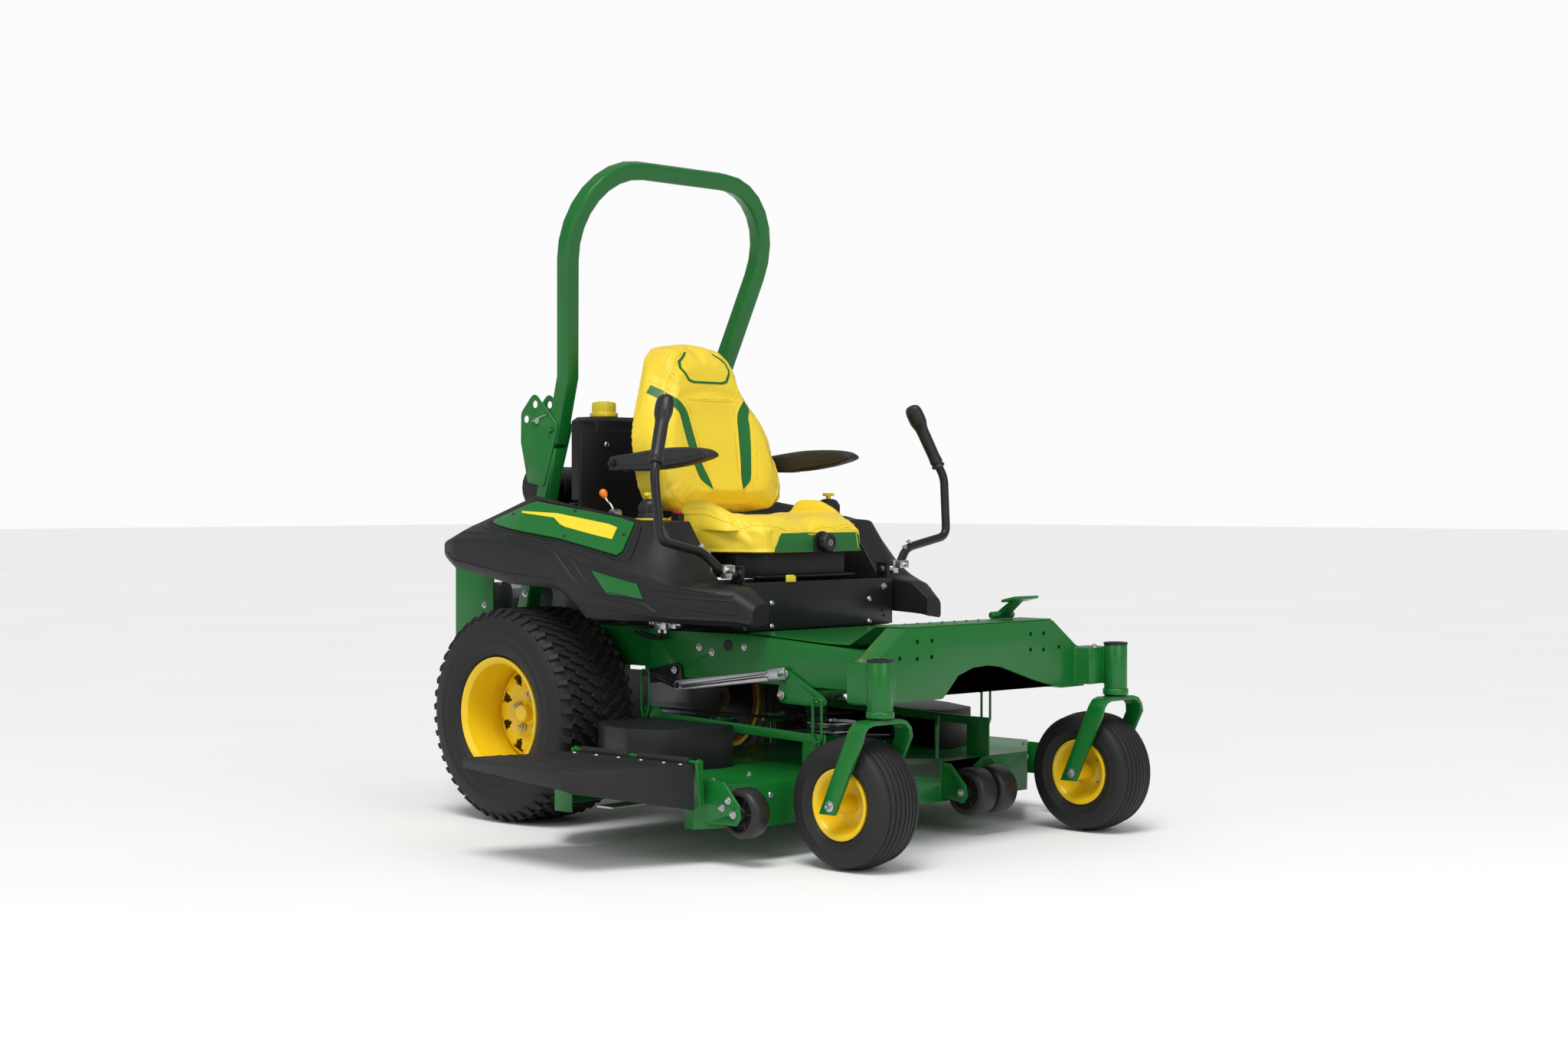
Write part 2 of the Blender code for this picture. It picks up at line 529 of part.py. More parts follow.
def fold_plate_outline():
    """Three lobes behind the post, and a tail that runs down it."""
    x0 = rops_x(ROPS_PIVOT_Z)
    lobes = [(x0 + 0.012, ROPS_PIVOT_Z + 0.010, 0.016, 1), (x0 - 0.075, ROPS_PIVOT_Z + 0.085, 0.022, 1),
             (x0 - FOLD_PLATE_REACH + 0.030, ROPS_PIVOT_Z + 0.045, 0.024, 1),
             (x0 - FOLD_PLATE_REACH + 0.026, ROPS_PIVOT_Z - 0.030, 0.020, 1),
             (x0 - 0.095, ROPS_PIVOT_Z - 0.140, 0.014, 1), (x0 - 0.040, ROPS_PIVOT_Z - 0.150, 0.012, 1)]
    return wrap(lobes, 3)


def rops_post(label, side):
    """A leg of the roll bar: foot, tube and the two plates that the hoop folds between."""
    half, top = ROPS_TUBE / 2, ROPS_PIVOT_Z - ROPS_END - 0.012
    leg = side * ROPS_LEG_Y
    solid = bmesh.new()
    sweep(solid, square_section(ROPS_TUBE, 0.006), [rops_point(leg, ROPS_FOOT_Z), rops_point(leg, top)])
    post = place(f"rops_post_{label}", solid, GREEN)
    foot = bmesh.new()
    foot_x, tab_x = rops_x(ROPS_FOOT_Z), rops_x(0.78)
    box(foot, (foot_x - 0.070, foot_x + 0.017), span_y(side, TAIL_OUT - TAIL_W + 0.004, ROPS_LEG_Y + 0.015),
        (TAIL_TOP + GAP, ROPS_FOOT_Z + 0.006))
    box(foot, (tab_x - 0.018, tab_x + 0.018), span_y(side, ROPS_LEG_Y + 0.020, 0.345 - GAP), (0.762, 0.798))
    combine(post, "UNION", "foot", foot)
    plates = bmesh.new()
    for y in (ROPS_LEG_Y + half - 0.001, ROPS_LEG_Y - half - FOLD_PLATE_T + 0.001):
        prism(plates, fold_plate_outline(), "y", *span_y(side, y, y + FOLD_PLATE_T))
    combine(post, "UNION", "plates", plates)
    holes = bmesh.new()
    x0 = rops_x(ROPS_PIVOT_Z)
    ends = span_y(side, ROPS_LEG_Y - 0.05, ROPS_LEG_Y + 0.05)
    for back, rise, radius in ((0, 0, 0.0085), (0.072, 0.078, 0.011), (0.112, 0.035, 0.011), (0.062, 0.020, 0.0085)):
        disc(holes, "y", (x0 - back, 0, ROPS_PIVOT_Z + rise), radius, *ends, 12)
    # the hoop folds down between the two plates, so the post leaves that space open
    room = span_y(side, ROPS_LEG_Y - half - 0.0008, ROPS_LEG_Y + half + 0.0008)
    box(holes, (x0 - 0.20, x0 + 0.06), room, (top, ROPS_PIVOT_Z + 0.15))
    combine(post, "DIFFERENCE", "holes", holes)
    return post


def hoop_path():
    """Half of the hoop's middle line, from the fold up the leg and round to the top."""
    lean = atan2(ROPS_SPLAY, 1.0)
    top = ROPS_TOP - ROPS_TUBE / 2
    arc_start = top - ROPS_ARC * (1 + sin(lean))
    start_y = ROPS_LEG_Y + ROPS_SPLAY * (arc_start - ROPS_BEND_Z)
    middle_y = start_y - ROPS_ARC * cos(lean)
    line = [(ROPS_LEG_Y, ROPS_PIVOT_Z - ROPS_END), (ROPS_LEG_Y, ROPS_BEND_Z)]
    steps = 8
    for k in range(steps + 1):
        angle = -lean + (pi / 2 + lean) * k / steps
        line.append((middle_y + ROPS_ARC * cos(angle), top - ROPS_ARC + ROPS_ARC * sin(angle)))
    return line


def rops_hoop():
    half = hoop_path()
    path = [rops_point(y, z) for y, z in half] + [rops_point(-y, z) for y, z in reversed(half)]
    solid = bmesh.new()
    sweep(solid, square_section(ROPS_TUBE, 0.006), path)
    pivot = (rops_x(ROPS_PIVOT_Z), 0.0, ROPS_PIVOT_Z)
    hoop = place("rops_hoop", solid, GREEN, pivot)
    pins = bmesh.new()
    for side in (1, -1):
        ends = span_y(side, ROPS_LEG_Y - 0.040, ROPS_LEG_Y + 0.040)
        disc(pins, "y", pivot, 0.0080, *ends, 12)
    combine(hoop, "UNION", "pins", pins)
    return hoop


# ---------------------------------------------------------------- engine end
def engine_block():
    solid = bmesh.new()
    disc(solid, "z", (ENGINE_X, 0, 0), CRANKCASE_R, ENGINE_LOW, ENGINE_BLOCK_TOP, 20)
    block = place("engine_block", solid, CAST)
    bores = bmesh.new()
    for side in (1, -1):
        middle = 0.620
        path = [(ENGINE_X - 0.02, side * 0.06, middle), (ENGINE_X - 0.075, side * 0.235, middle)]
        sweep(bores, round_section(0.058, 12), path)
    combine(block, "UNION", "cylinders", bores)
    pipes = bmesh.new()
    disc(pipes, "y", (-0.530, 0, 0.612), 0.048, -0.15, 0.15, 16)
    box(pipes, (-0.535, -0.505), (-0.13, -0.10), (ENGINE_LOW, 0.600))
    box(pipes, (-0.535, -0.505), (0.10, 0.13), (ENGINE_LOW, 0.600))
    for side in (1, -1):
        path = [(-0.520, side * 0.11, 0.640), (-0.385, side * 0.185, 0.625)]
        sweep(pipes, round_section(0.014, 8), path)
    combine(block, "UNION", "exhaust", pipes)
    return block


def engine_covers():
    """The blower housing over the engine, the air cleaner on it and its end caps."""
    solid = bmesh.new()
    low = ENGINE_BLOCK_TOP + GAP
    tiers = [(1.0, low), (1.0, low + 0.10), (0.90, SHROUD_TOP - 0.03), (0.72, SHROUD_TOP)]
    rings = []
    for share, z in tiers:
        rx, ry = SHROUD_HALF_X * share, SHROUD_HALF_Y * share
        ring = [(rx, ry * 0.6), (rx * 0.6, ry), (-rx * 0.6, ry), (-rx, ry * 0.6)]
        ring += [(-x, -y) for x, y in ring]
        rings.append([(ENGINE_X + x, y, z) for x, y in ring])
    loft(solid, rings)
    covers = place("engine_covers", solid, BLACK)
    cleaner = bmesh.new()
    r = CLEANER_R
    profile = [(0, -0.215), (r - 0.012, -0.215), (r, -0.203), (r, -0.150), (r - 0.006, -0.145), (r - 0.006, 0.150),
               (r, 0.155), (r, 0.170), (0, 0.170)]
    turned(cleaner, profile, "y", (CLEANER_X, 0, CLEANER_Z), 18)
    box(cleaner, (CLEANER_X - 0.03, CLEANER_X + 0.03), (-0.10, 0.10), (SHROUD_TOP - 0.02, CLEANER_Z - 0.05))
    combine(covers, "UNION", "cleaner", cleaner)
    return covers


def oil_tank():
    solid = bmesh.new()
    box(solid, (TANK_REAR, TANK_FRONT), (-TANK_HALF, TANK_HALF), (TANK_LOW, TANK_TOP))
    rim = [edge for edge in solid.edges if abs(edge.verts[0].co.z - edge.verts[1].co.z) < 1e-6]
    bmesh.ops.bevel(solid, geom=rim, offset=0.012, offset_type="OFFSET", segments=1, profile=0.5, affect="EDGES",
                    material=-1)
    tank = place("oil_tank", solid, BLACK)
    shield = bmesh.new()
    box(shield, (TANK_FRONT - 0.004, TANK_FRONT + 0.004), (-0.272, 0.272), (0.70, 1.122))
    for side in (1, -1):
        box(shield, (TANK_FRONT - 0.06, TANK_FRONT + 0.003), span_y(side, 0.222, 0.226), (TAIL_TOP + GAP, 1.10))
    box(shield, (TANK_REAR + 0.01, TANK_FRONT - 0.001), (-0.224, 0.224), (TANK_LOW - 0.003, TANK_LOW + 0.004))
    combine(tank, "UNION", "shield", shield)
    return tank


def twist_cap(name, centre, radius, low, top, kind):
    """A ribbed dome with a grip across it."""
    height = top - low
    solid = bmesh.new()
    profile = [(0, 0), (radius * 0.8, 0), (radius, height * 0.15), (radius, height * 0.45), (radius * 0.7, height * 0.78),
               (radius * 0.42, height * 0.82), (radius * 0.42, height), (0, height)]
    base = (centre[0], centre[1], low)
    turned(solid, profile, "z", base, 16)
    return place(name, solid, kind, base)


def transmissions():
    """A hydrostatic pump and wheel motor on each side, hung from the frame's tails."""
    solid = bmesh.new()
    for side in (1, -1):
        box(solid, (-0.110, 0.110), span_y(side, 0.095, 0.205), (0.232, 0.415))
    units = place("transmissions", solid, CAST)
    ends = bmesh.new()
    disc(ends, "y", (0.060, 0, 0.388), 0.018, -0.110, 0.110, 12)
    for side in (1, -1):
        hub_end = DRIVE_Y - DRIVE_HUB_BACK - 0.0005
        disc(ends, "y", (0, 0, DRIVE_R), 0.032, *span_y(side, 0.200, hub_end), 16)
        disc(ends, "z", (0.050, side * 0.150, 0), 0.030, 0.410, 0.440, 12)
    combine(units, "UNION", "axles", ends)
    pads = bmesh.new()
    for side in (1, -1):
        for x in (-0.095, 0.070):
            low, high = 0.38, TAIL_LOW - GAP
            box(pads, (x, x + 0.025), span_y(side, 0.197, 0.262), (low, high))
    combine(units, "UNION", "pads", pads)
    return units


# ---------------------------------------------------------------- side pods
def ridge(x):
    return (RIDGE_Y, RIDGE_Z + RIDGE_SLOPE * x)


def waist(x):
    return (BELT_Y, BELT_Z + RIDGE_SLOPE * x)


def pod_stations():
    """Sections along x: inner wall, inner bottom, shelf height and edge, ridge, waist, outer wall, under edge."""
    return [
        (-0.330, 0.345, 0.745, 0.795, 0.400, (0.440, 0.812), (0.490, 0.800), (0.505, 0.790, 0.755), (0.490, 0.738)),
        (-0.260, 0.345, 0.722, 0.820, 0.400, (0.440, 0.847), (0.505, 0.820), (0.530, 0.800, 0.735), (0.515, 0.715)),
        (0.010, 0.345, 0.680, 0.868, 0.400, ridge(0.010), waist(0.010), (0.545, 0.805, 0.700), (0.530, 0.672)),
        (0.220, 0.330, 0.672, 0.864, 0.405, ridge(0.220), waist(0.220), (0.550, 0.775, 0.690), (0.530, 0.665)),
        (0.330, 0.325, 0.604, CONSOLE_Z, 0.410, ridge(0.330), waist(0.330), (0.550, 0.745, 0.630), (0.530, 0.592)),
        (0.448, 0.325, 0.602, CONSOLE_Z, 0.415, ridge(0.448), waist(0.448), (0.545, 0.730, 0.620), (0.525, 0.590)),
        (0.530, 0.325, 0.600, CONSOLE_Z - 0.003, 0.400, (0.425, 0.853), (0.500, 0.745), (0.530, 0.715, 0.610), (0.510, 0.590)),
        (0.585, 0.325, 0.600, 0.780, 0.395, (0.420, 0.779), (0.490, 0.725), (0.517, 0.700, 0.605), (0.497, 0.588)),
        (0.645, 0.325, 0.598, 0.697, 0.390, (0.410, 0.696), (0.475, 0.693), (0.495, 0.685, 0.600), (0.480, 0.585)),
        (0.772, 0.325, 0.592, 0.682, 0.358, (0.370, 0.681), (0.395, 0.675), (0.410, 0.660, 0.595), (0.400, 0.580)),
        (0.832, 0.325, 0.588, 0.640, 0.350, (0.360, 0.639), (0.375, 0.635), (0.386, 0.620, 0.585), (0.380, 0.578)),
    ]


def pod_section(station, side, wall=0.0):
    """One closed section. With a wall, it is the space inside, open below."""
    x, inner, foot, shelf, edge, (ridge_y, ridge_z), (belt_y, belt_z), (out_y, out_high, out_low), (und_y, und_z) = station
    drop = 0.03 if wall else 0.0
    points = [(inner + wall, foot - drop), (inner + wall, shelf - wall), (edge, shelf - wall), (ridge_y, ridge_z - wall * 1.6),
              (belt_y - wall, belt_z - wall), (out_y - wall, out_high - wall), (out_y - wall, out_low),
              (und_y - wall, und_z - drop)]
    return [(x, side * y, z) for y, z in points]


def side_pod(label, side):
    stations = pod_stations()
    solid = bmesh.new()
    loft(solid, [pod_section(station, side) for station in stations])
    pod = place(f"pod_{label}", solid, BLACK)
    inside = bmesh.new()
    inner = [pod_section(station, side, POD_WALL) for station in stations]
    inner[0] = [(x + 2 * POD_WALL, y, z) for x, y, z in inner[0]]
    inner[-1] = [(x - 2 * POD_WALL, y, z) for x, y, z in inner[-1]]
    loft(inside, inner)
    combine(pod, "DIFFERENCE", "inside", inside)
    return pod


def fuel_caps():
    for label, side in SIDES.items():
        spot = (FUEL_CAP_X, side * FUEL_CAP_Y)
        twist_cap(f"fuel_cap_{label}", spot, FUEL_CAP_R, CONSOLE_Z + 0.0008, FUEL_CAP_TOP, BLACK)
    twist_cap("tank_cap", (-0.045, TANK_CAP_Y), TANK_CAP_R, TANK_TOP + 0.0006, TANK_TOP + 0.048, YELLOW)


def throttle_lever():
    hub_z = THROTTLE_SHELF + THROTTLE_HUB_R + RUNNING
    pivot = (THROTTLE_X, -THROTTLE_Y, hub_z)
    solid = bmesh.new()
    disc(solid, "y", pivot, THROTTLE_HUB_R, -THROTTLE_Y - 0.008, -THROTTLE_Y + 0.008, 12)
    lever = place("throttle_lever", solid, ORANGE, pivot)
    rod = bmesh.new()
    tip = (THROTTLE_X - 0.052, -THROTTLE_Y, hub_z + 0.058)
    sweep(rod, round_section(0.0035, 8), [pivot, tip])
    combine(lever, "UNION", "rod", rod)
    knob = bmesh.new()
    turned(knob, [(0, -0.018), (0.010, -0.012), (0.014, 0.004), (0.009, 0.016), (0, 0.019)], "z", tip, 12)
    combine(lever, "UNION", "knob", knob)
    return lever


# ---------------------------------------------------------------- seat
def seat_base():
    """A folded sheet box under the seat, open below, with the brackets that carry the control levers."""
    solid = bmesh.new()
    low = RAIL_TOP + 0.004 + GAP
    box(solid, (SEAT_BASE_REAR, SEAT_BASE_FRONT), (-SEAT_BASE_HALF, SEAT_BASE_HALF), (low, SEAT_BASE_TOP))
    base = place("seat_base", solid, SHEET)
    hollow = bmesh.new()
    t = SEAT_BASE_T
    box(hollow, (SEAT_BASE_REAR + t, SEAT_BASE_FRONT - t), (-SEAT_BASE_HALF + t, SEAT_BASE_HALF - t),
        (low - 0.02, SEAT_BASE_TOP - t))
    for x, y in suspension_pins():
        disc(hollow, "z", (x, y, 0), SUSPENSION_PIN_R + RUNNING, SEAT_BASE_TOP - 0.03, SEAT_BASE_TOP + 0.02, 12)
    combine(base, "DIFFERENCE", "inside", hollow)
    ears = bmesh.new()
    for side in (1, -1):
        reach = 0.325 - GAP
        box(ears, (0.400, 0.440), span_y(side, SEAT_BASE_HALF - 0.002, reach), (0.612, 0.652))
        box(ears, (0.610, 0.640), span_y(side, SEAT_BASE_HALF - 0.002, reach), (0.612, 0.652))
        box(ears, (LEVER_X - 0.022, LEVER_X + 0.022), span_y(side, 0.292, 0.302), (0.655, LEVER_Z + 0.022))
    combine(base, "UNION", "ears", ears)
    panel = bmesh.new()
    box(panel, (SEAT_BASE_FRONT - 0.002, PANEL_X), (-PANEL_HALF, PANEL_HALF), (PANEL_LOW + 0.003, PANEL_TOP))
    combine(base, "UNION", "front_panel", panel)
    bores = bmesh.new()
    disc(bores, "y", (LEVER_X, 0, LEVER_Z), 0.0100 + RUNNING, -0.33, 0.33, 12)
    combine(base, "DIFFERENCE", "bores", bores)
    return base


def suspension_pins():
    return [(x, y) for x in (0.34, 0.62) for y in (-0.15, 0.15)]


def seat_suspension():
    solid = bmesh.new()
    box(solid, (0.28, 0.668), (-0.20, 0.20), (SUSPENSION_Z, SUSPENSION_Z + SUSPENSION_T))
    plate = place("seat_suspension", solid, STEEL)
    pins = bmesh.new()
    for x, y in suspension_pins():
        disc(pins, "z", (x, y, 0), SUSPENSION_PIN_R, 0.620, SUSPENSION_Z + 0.004, 10)
    combine(plate, "UNION", "pins", pins)
    return plate


def cushion_outline(inset=0.0):
    """The seat in plan: a straight front, full hips and a narrower tail."""
    half = CUSHION_HALF - inset
    right = [(CUSHION_FRONT - inset, 0.195 - inset), (CUSHION_FRONT - 0.02 - inset, 0.215 - inset), (0.600, half - 0.020),
             (0.480, half), (0.400, half), (CUSHION_REAR + 0.04, half - 0.030), (CUSHION_REAR + inset, half - 0.07)]
    return right + [(x, -y) for x, y in reversed(right)]


def seat_pan():
    solid = bmesh.new()
    outline = [(x if x > 0.3 else PAN_REAR, y) for x, y in cushion_outline(CUSHION_HALF - PAN_HALF)]
    outline = [(min(x, PAN_FRONT), y) for x, y in outline]
    prism(solid, outline, "z", PAN_LOW, PAN_TOP)
    pan = place("seat_pan", solid, BLACK)
    ears = bmesh.new()
    for side in (1, -1):
        outline = wrap([(PAN_REAR + 0.013, PAN_TOP - 0.02, 0.012, 1), (PAN_REAR + 0.033, PAN_TOP - 0.02, 0.012, 1),
                        (RECLINE_X, RECLINE_Z, 0.014, 1)], 3)
        prism(ears, outline, "y", *span_y(side, 0.150, 0.156))
    combine(pan, "UNION", "ears", ears)
    bores = bmesh.new()
    disc(bores, "y", (RECLINE_X, 0, RECLINE_Z), 0.006 + RUNNING, -0.18, 0.18, 12)
    combine(pan, "DIFFERENCE", "bores", bores)
    return pan


def seat_cushion():
    solid = bmesh.new()
    prism(solid, cushion_outline(), "z", PAN_TOP + GAP, CUSHION_TOP)
    rim = [edge for edge in solid.edges if all(vert.co.z > CUSHION_TOP - 1e-5 for vert in edge.verts)]
    bmesh.ops.bevel(solid, geom=rim, offset=0.022, offset_type="OFFSET", segments=2, profile=0.5, affect="EDGES",
                    material=-1)
    cushion = place("seat_cushion", solid, VINYL)
    hips = bmesh.new()
    z = CUSHION_TOP - 0.03
    outline = [(0.385, z), (0.385, 0.870), (0.405, 0.906), (0.440, BOLSTER_TOP), (0.500, 0.912), (0.560, 0.890),
               (0.620, 0.860), (0.640, z)]
    for side in (1, -1):
        prism(hips, outline, "y", *span_y(side, BOLSTER_IN, CUSHION_HALF - 0.004))
    combine(cushion, "UNION", "hips", hips)
    return cushion


def back_outline(shrink=0.0, low=0.889, top=1.372):
    """The back cushion from the front: full at the ribs, narrow at the shoulders."""
    shape = [(0.200, 0.889), (0.245, 0.915), (0.257, 0.957), (0.257, 1.010), (0.245, 1.100), (0.222, 1.158),
             (0.190, 1.220), (0.160, 1.280), (0.135, 1.330), (0.100, 1.362), (0.050, 1.372)]
    right = [(y - shrink, min(max(z, low), top)) for y, z in shape]
    kept = [point for k, point in enumerate(right) if k == 0 or right[k - 1][1] < point[1]]
    return kept + [(-y, z) for y, z in reversed(kept)]


def back_x(z):
    return BACK_FRONT_X - BACK_LEAN * (z - BACK_FRONT_Z)


def seat_back():
    solid = bmesh.new()
    prism(solid, back_outline(), "x", -BACK_T, 0.0)
    rim = [edge for edge in solid.edges if all(abs(vert.co.x) < 1e-6 for vert in edge.verts)]
    bmesh.ops.bevel(solid, geom=rim, offset=0.025, offset_type="OFFSET", segments=2, profile=0.5, affect="EDGES",
                    material=-1)
    for vert in solid.verts:
        vert.co.x += back_x(vert.co.z)
    return place("seat_back", solid, VINYL, (RECLINE_X, 0.0, RECLINE_Z))


def back_shell():
    solid = bmesh.new()
    verts = prism(solid, back_outline(0.045, 0.900, 1.300), "x", -BACK_T - GAP - 0.0006 - SHELL_T, -BACK_T - GAP - 0.0006)
    for vert in verts:
        vert.co.x += back_x(vert.co.z)
    pivot = (RECLINE_X, 0.0, RECLINE_Z)
    shell = place("back_shell", solid, BLACK, pivot)
    tabs = bmesh.new()
    for side in (1, -1):
        root = back_x(0.93) - BACK_T - SHELL_T / 2
        outline = wrap([(RECLINE_X, RECLINE_Z, 0.014, 1), (root, 0.930, 0.009, 1)], 4)
        prism(tabs, outline, "y", *span_y(side, 0.158, 0.166))
        disc(tabs, "y", pivot, 0.006, *span_y(side, 0.146, 0.160), 10)
    combine(shell, "UNION", "tabs", tabs)
    arms = bmesh.new()
    for side in (1, -1):
        depth = 0.018
        outline = [(ARM_PIVOT_X - 0.016, ARM_PIVOT_Z - 0.025), (ARM_PIVOT_X + 0.012, ARM_PIVOT_Z - 0.025),
                   (ARM_PIVOT_X + 0.007, ARM_PIVOT_Z + 0.018), (ARM_PIVOT_X - 0.016, ARM_PIVOT_Z + 0.018)]
        prism(arms, outline, "y", *span_y(side, 0.205, ARM_IN - 0.002))
        disc(arms, "y", (ARM_PIVOT_X, 0, ARM_PIVOT_Z), 0.008, *span_y(side, ARM_IN - depth, ARM_OUT + 0.006), 12)
    combine(shell, "UNION", "arms", arms)
    return shell


def armrest(label, side):
    """A padded arm that lifts about a bolt on the back."""
    pivot = (ARM_PIVOT_X, side * ARM_IN, ARM_PIVOT_Z)
    outline = [(0.180, 1.000), (0.225, 1.000), (0.330, 0.998), (0.500, 1.016), (0.560, 1.028), (0.584, 1.036),
               (0.586, 1.046), (0.560, 1.058), (0.520, 1.063), (0.420, 1.063), (0.300, 1.052), (0.210, 1.044),
               (0.180, 1.040)]
    solid = bmesh.new()
    prism(solid, outline, "y", *span_y(side, ARM_IN, ARM_OUT))
    arm = place(f"armrest_{label}", solid, BLACK, pivot)
    bore = bmesh.new()
    disc(bore, "y", pivot, 0.008 + RUNNING, *span_y(side, ARM_IN - 0.02, ARM_OUT + 0.02), 12)
    combine(arm, "DIFFERENCE", "bore", bore)
    return arm


def seat_knob():
    start = CUSHION_FRONT + GAP
    centre = (start, SEAT_KNOB_Y, SEAT_KNOB_Z)
    r = SEAT_KNOB_R
    solid = bmesh.new()
    profile = [(0, 0), (0.014, 0), (0.014, 0.010), (r, 0.012), (r, SEAT_KNOB_L - 0.006), (r - 0.006, SEAT_KNOB_L),
               (0, SEAT_KNOB_L)]
    turned(solid, profile, "x", centre, 16)
    return place("seat_knob", solid, BLACK, centre)


BUCKLE = (0.450, -0.297, 0.880)
BUTTON_TRAVEL = 0.005
REEL_X = 0.400


def belt_stalk(solid, side, middle, top):
    """A strap of steel from the side of the seat pan, bent up."""
    box(solid, (middle - 0.012, middle + 0.012), span_y(side, PAN_HALF + GAP, 0.294), (0.744, 0.750))
    box(solid, (middle - 0.012, middle + 0.012), span_y(side, 0.288, 0.294), (0.745, top))


def belt_buckle():
    x, y, z = BUCKLE
    solid = bmesh.new()
    box(solid, (x - 0.016, x + 0.016), (y - 0.011, y + 0.011), (z - 0.045, z))
    buckle = place("belt_buckle", solid, BLACK)
    stalk = bmesh.new()
    belt_stalk(stalk, -1, x, z - 0.040)
    combine(buckle, "UNION", "stalk", stalk)
    socket = bmesh.new()
    box(socket, (x - 0.011, x + 0.011), (y - 0.007, y + 0.007), (z - 0.012, z + 0.010))
    combine(buckle, "DIFFERENCE", "socket", socket)
    return buckle


def belt_reel():
    solid = bmesh.new()
    box(solid, (REEL_X - 0.035, REEL_X + 0.035), (0.288, 0.312), (0.800, 0.872))
    reel = place("belt_reel", solid, BLACK)
    stalk = bmesh.new()
    belt_stalk(stalk, 1, REEL_X, 0.805)
    combine(reel, "UNION", "stalk", stalk)
    return reel


def buckle_button():
    x, y, z = BUCKLE
    fit = 0.0004
    solid = bmesh.new()
    low = z - 0.012 + BUTTON_TRAVEL + fit
    box(solid, (x - 0.011 + fit, x + 0.011 - fit), (y - 0.007 + fit, y + 0.007 - fit), (low, z + 0.007))
    return place("buckle_button", solid, RED, (x, y, z))


# ---------------------------------------------------------------- control levers
def lever_base(label, side):
    """The cross shaft and the block that carries the swing hinge."""
    pivot = (LEVER_X, side * SWING_Y, LEVER_Z)
    solid = bmesh.new()
    disc(solid, "y", (LEVER_X, 0, LEVER_Z), 0.0100, *span_y(side, 0.286, 0.335), 12)
    base = place(f"lever_base_{label}", solid, SHEET, pivot)
    block = bmesh.new()
    box(block, (LEVER_X - 0.011, LEVER_X + 0.011), span_y(side, 0.330, 0.3515), (LEVER_Z - 0.012, SWING_Z + 0.012))
    combine(base, "UNION", "block", block)
    pin = bmesh.new()
    for low, high in ((-0.030, -0.020), (0.020, 0.030)):
        box(pin, (LEVER_X + low, LEVER_X + high), span_y(side, 0.338, SWING_Y + 0.011), (SWING_Z - 0.011, SWING_Z + 0.011))
    box(pin, (LEVER_X - 0.030, LEVER_X + 0.030), span_y(side, 0.338, 0.3505), (SWING_Z - 0.011, SWING_Z + 0.011))
    combine(base, "UNION", "yoke", pin)
    axle = bmesh.new()
    disc(axle, "x", (0, side * SWING_Y, SWING_Z), 0.005, LEVER_X - 0.034, LEVER_X + 0.034, 10)
    combine(base, "UNION", "axle", axle)
    return base


def control_lever(label, side):
    """A bent tube with a paddle grip, on a hinge that lets it swing in over the knees."""
    pivot = (LEVER_X, side * SWING_Y, SWING_Z)
    solid = bmesh.new()
    points = [(LEVER_X, SWING_Y + 0.008, SWING_Z + 0.004), (0.674, 0.416, 0.776), (0.685, 0.585, 0.810),
              (0.671, 0.591, 0.984), (0.661, 0.578, 1.015)]
    path = rounded_path(points, LEVER_BEND, 3)
    sweep(solid, round_section(LEVER_R, 10), [(x, side * y, z) for x, y, z in path])
    lever = place(f"control_lever_{label}", solid, SHEET, pivot)
    hub = bmesh.new()
    disc(hub, "x", (0, side * SWING_Y, SWING_Z), 0.0125, LEVER_X - 0.0195, LEVER_X + 0.0195, 12)
    combine(lever, "UNION", "hub", hub)
    bore = bmesh.new()
    disc(bore, "x", (0, side * SWING_Y, SWING_Z), 0.005 + RUNNING, LEVER_X - 0.04, LEVER_X + 0.04, 10)
    combine(lever, "DIFFERENCE", "bore", bore)
    grip = bmesh.new()
    low, high = Vector((0.6615, side * 0.5786, 1.0135)), Vector((0.6190, side * 0.5000, 1.1970))
    for start, end, radius in ((0.0, 0.78, 0.0185), (0.62, 1.0, 0.0240)):
        sweep(grip, round_section(radius, 10), [low.lerp(high, start), low.lerp(high, end)])
    combine(lever, "UNION", "grip", grip)
    return lever


# ---------------------------------------------------------------- mowing deck
def deck_outline(inset=0.0):
    left, right = DECK_MID + DECK_HALF - inset, DECK_MID - DECK_HALF + inset
    front, rear = DECK_FRONT - inset, DECK_REAR + inset
    return [(front, -0.55), (front, 0.50), (0.86 - inset * 0.6, left), (0.43, left), (rear, left - 0.09),
            (rear, right + 0.09), (0.43, right), (0.965 - inset * 0.6, right)]


def spindle_spots():
    return {
        "left": (SPINDLE_SIDE_X, DECK_MID + SPINDLE_PITCH),
        "centre": (SPINDLE_X, DECK_MID),
        "right": (SPINDLE_SIDE_X, DECK_MID - SPINDLE_PITCH),
    }


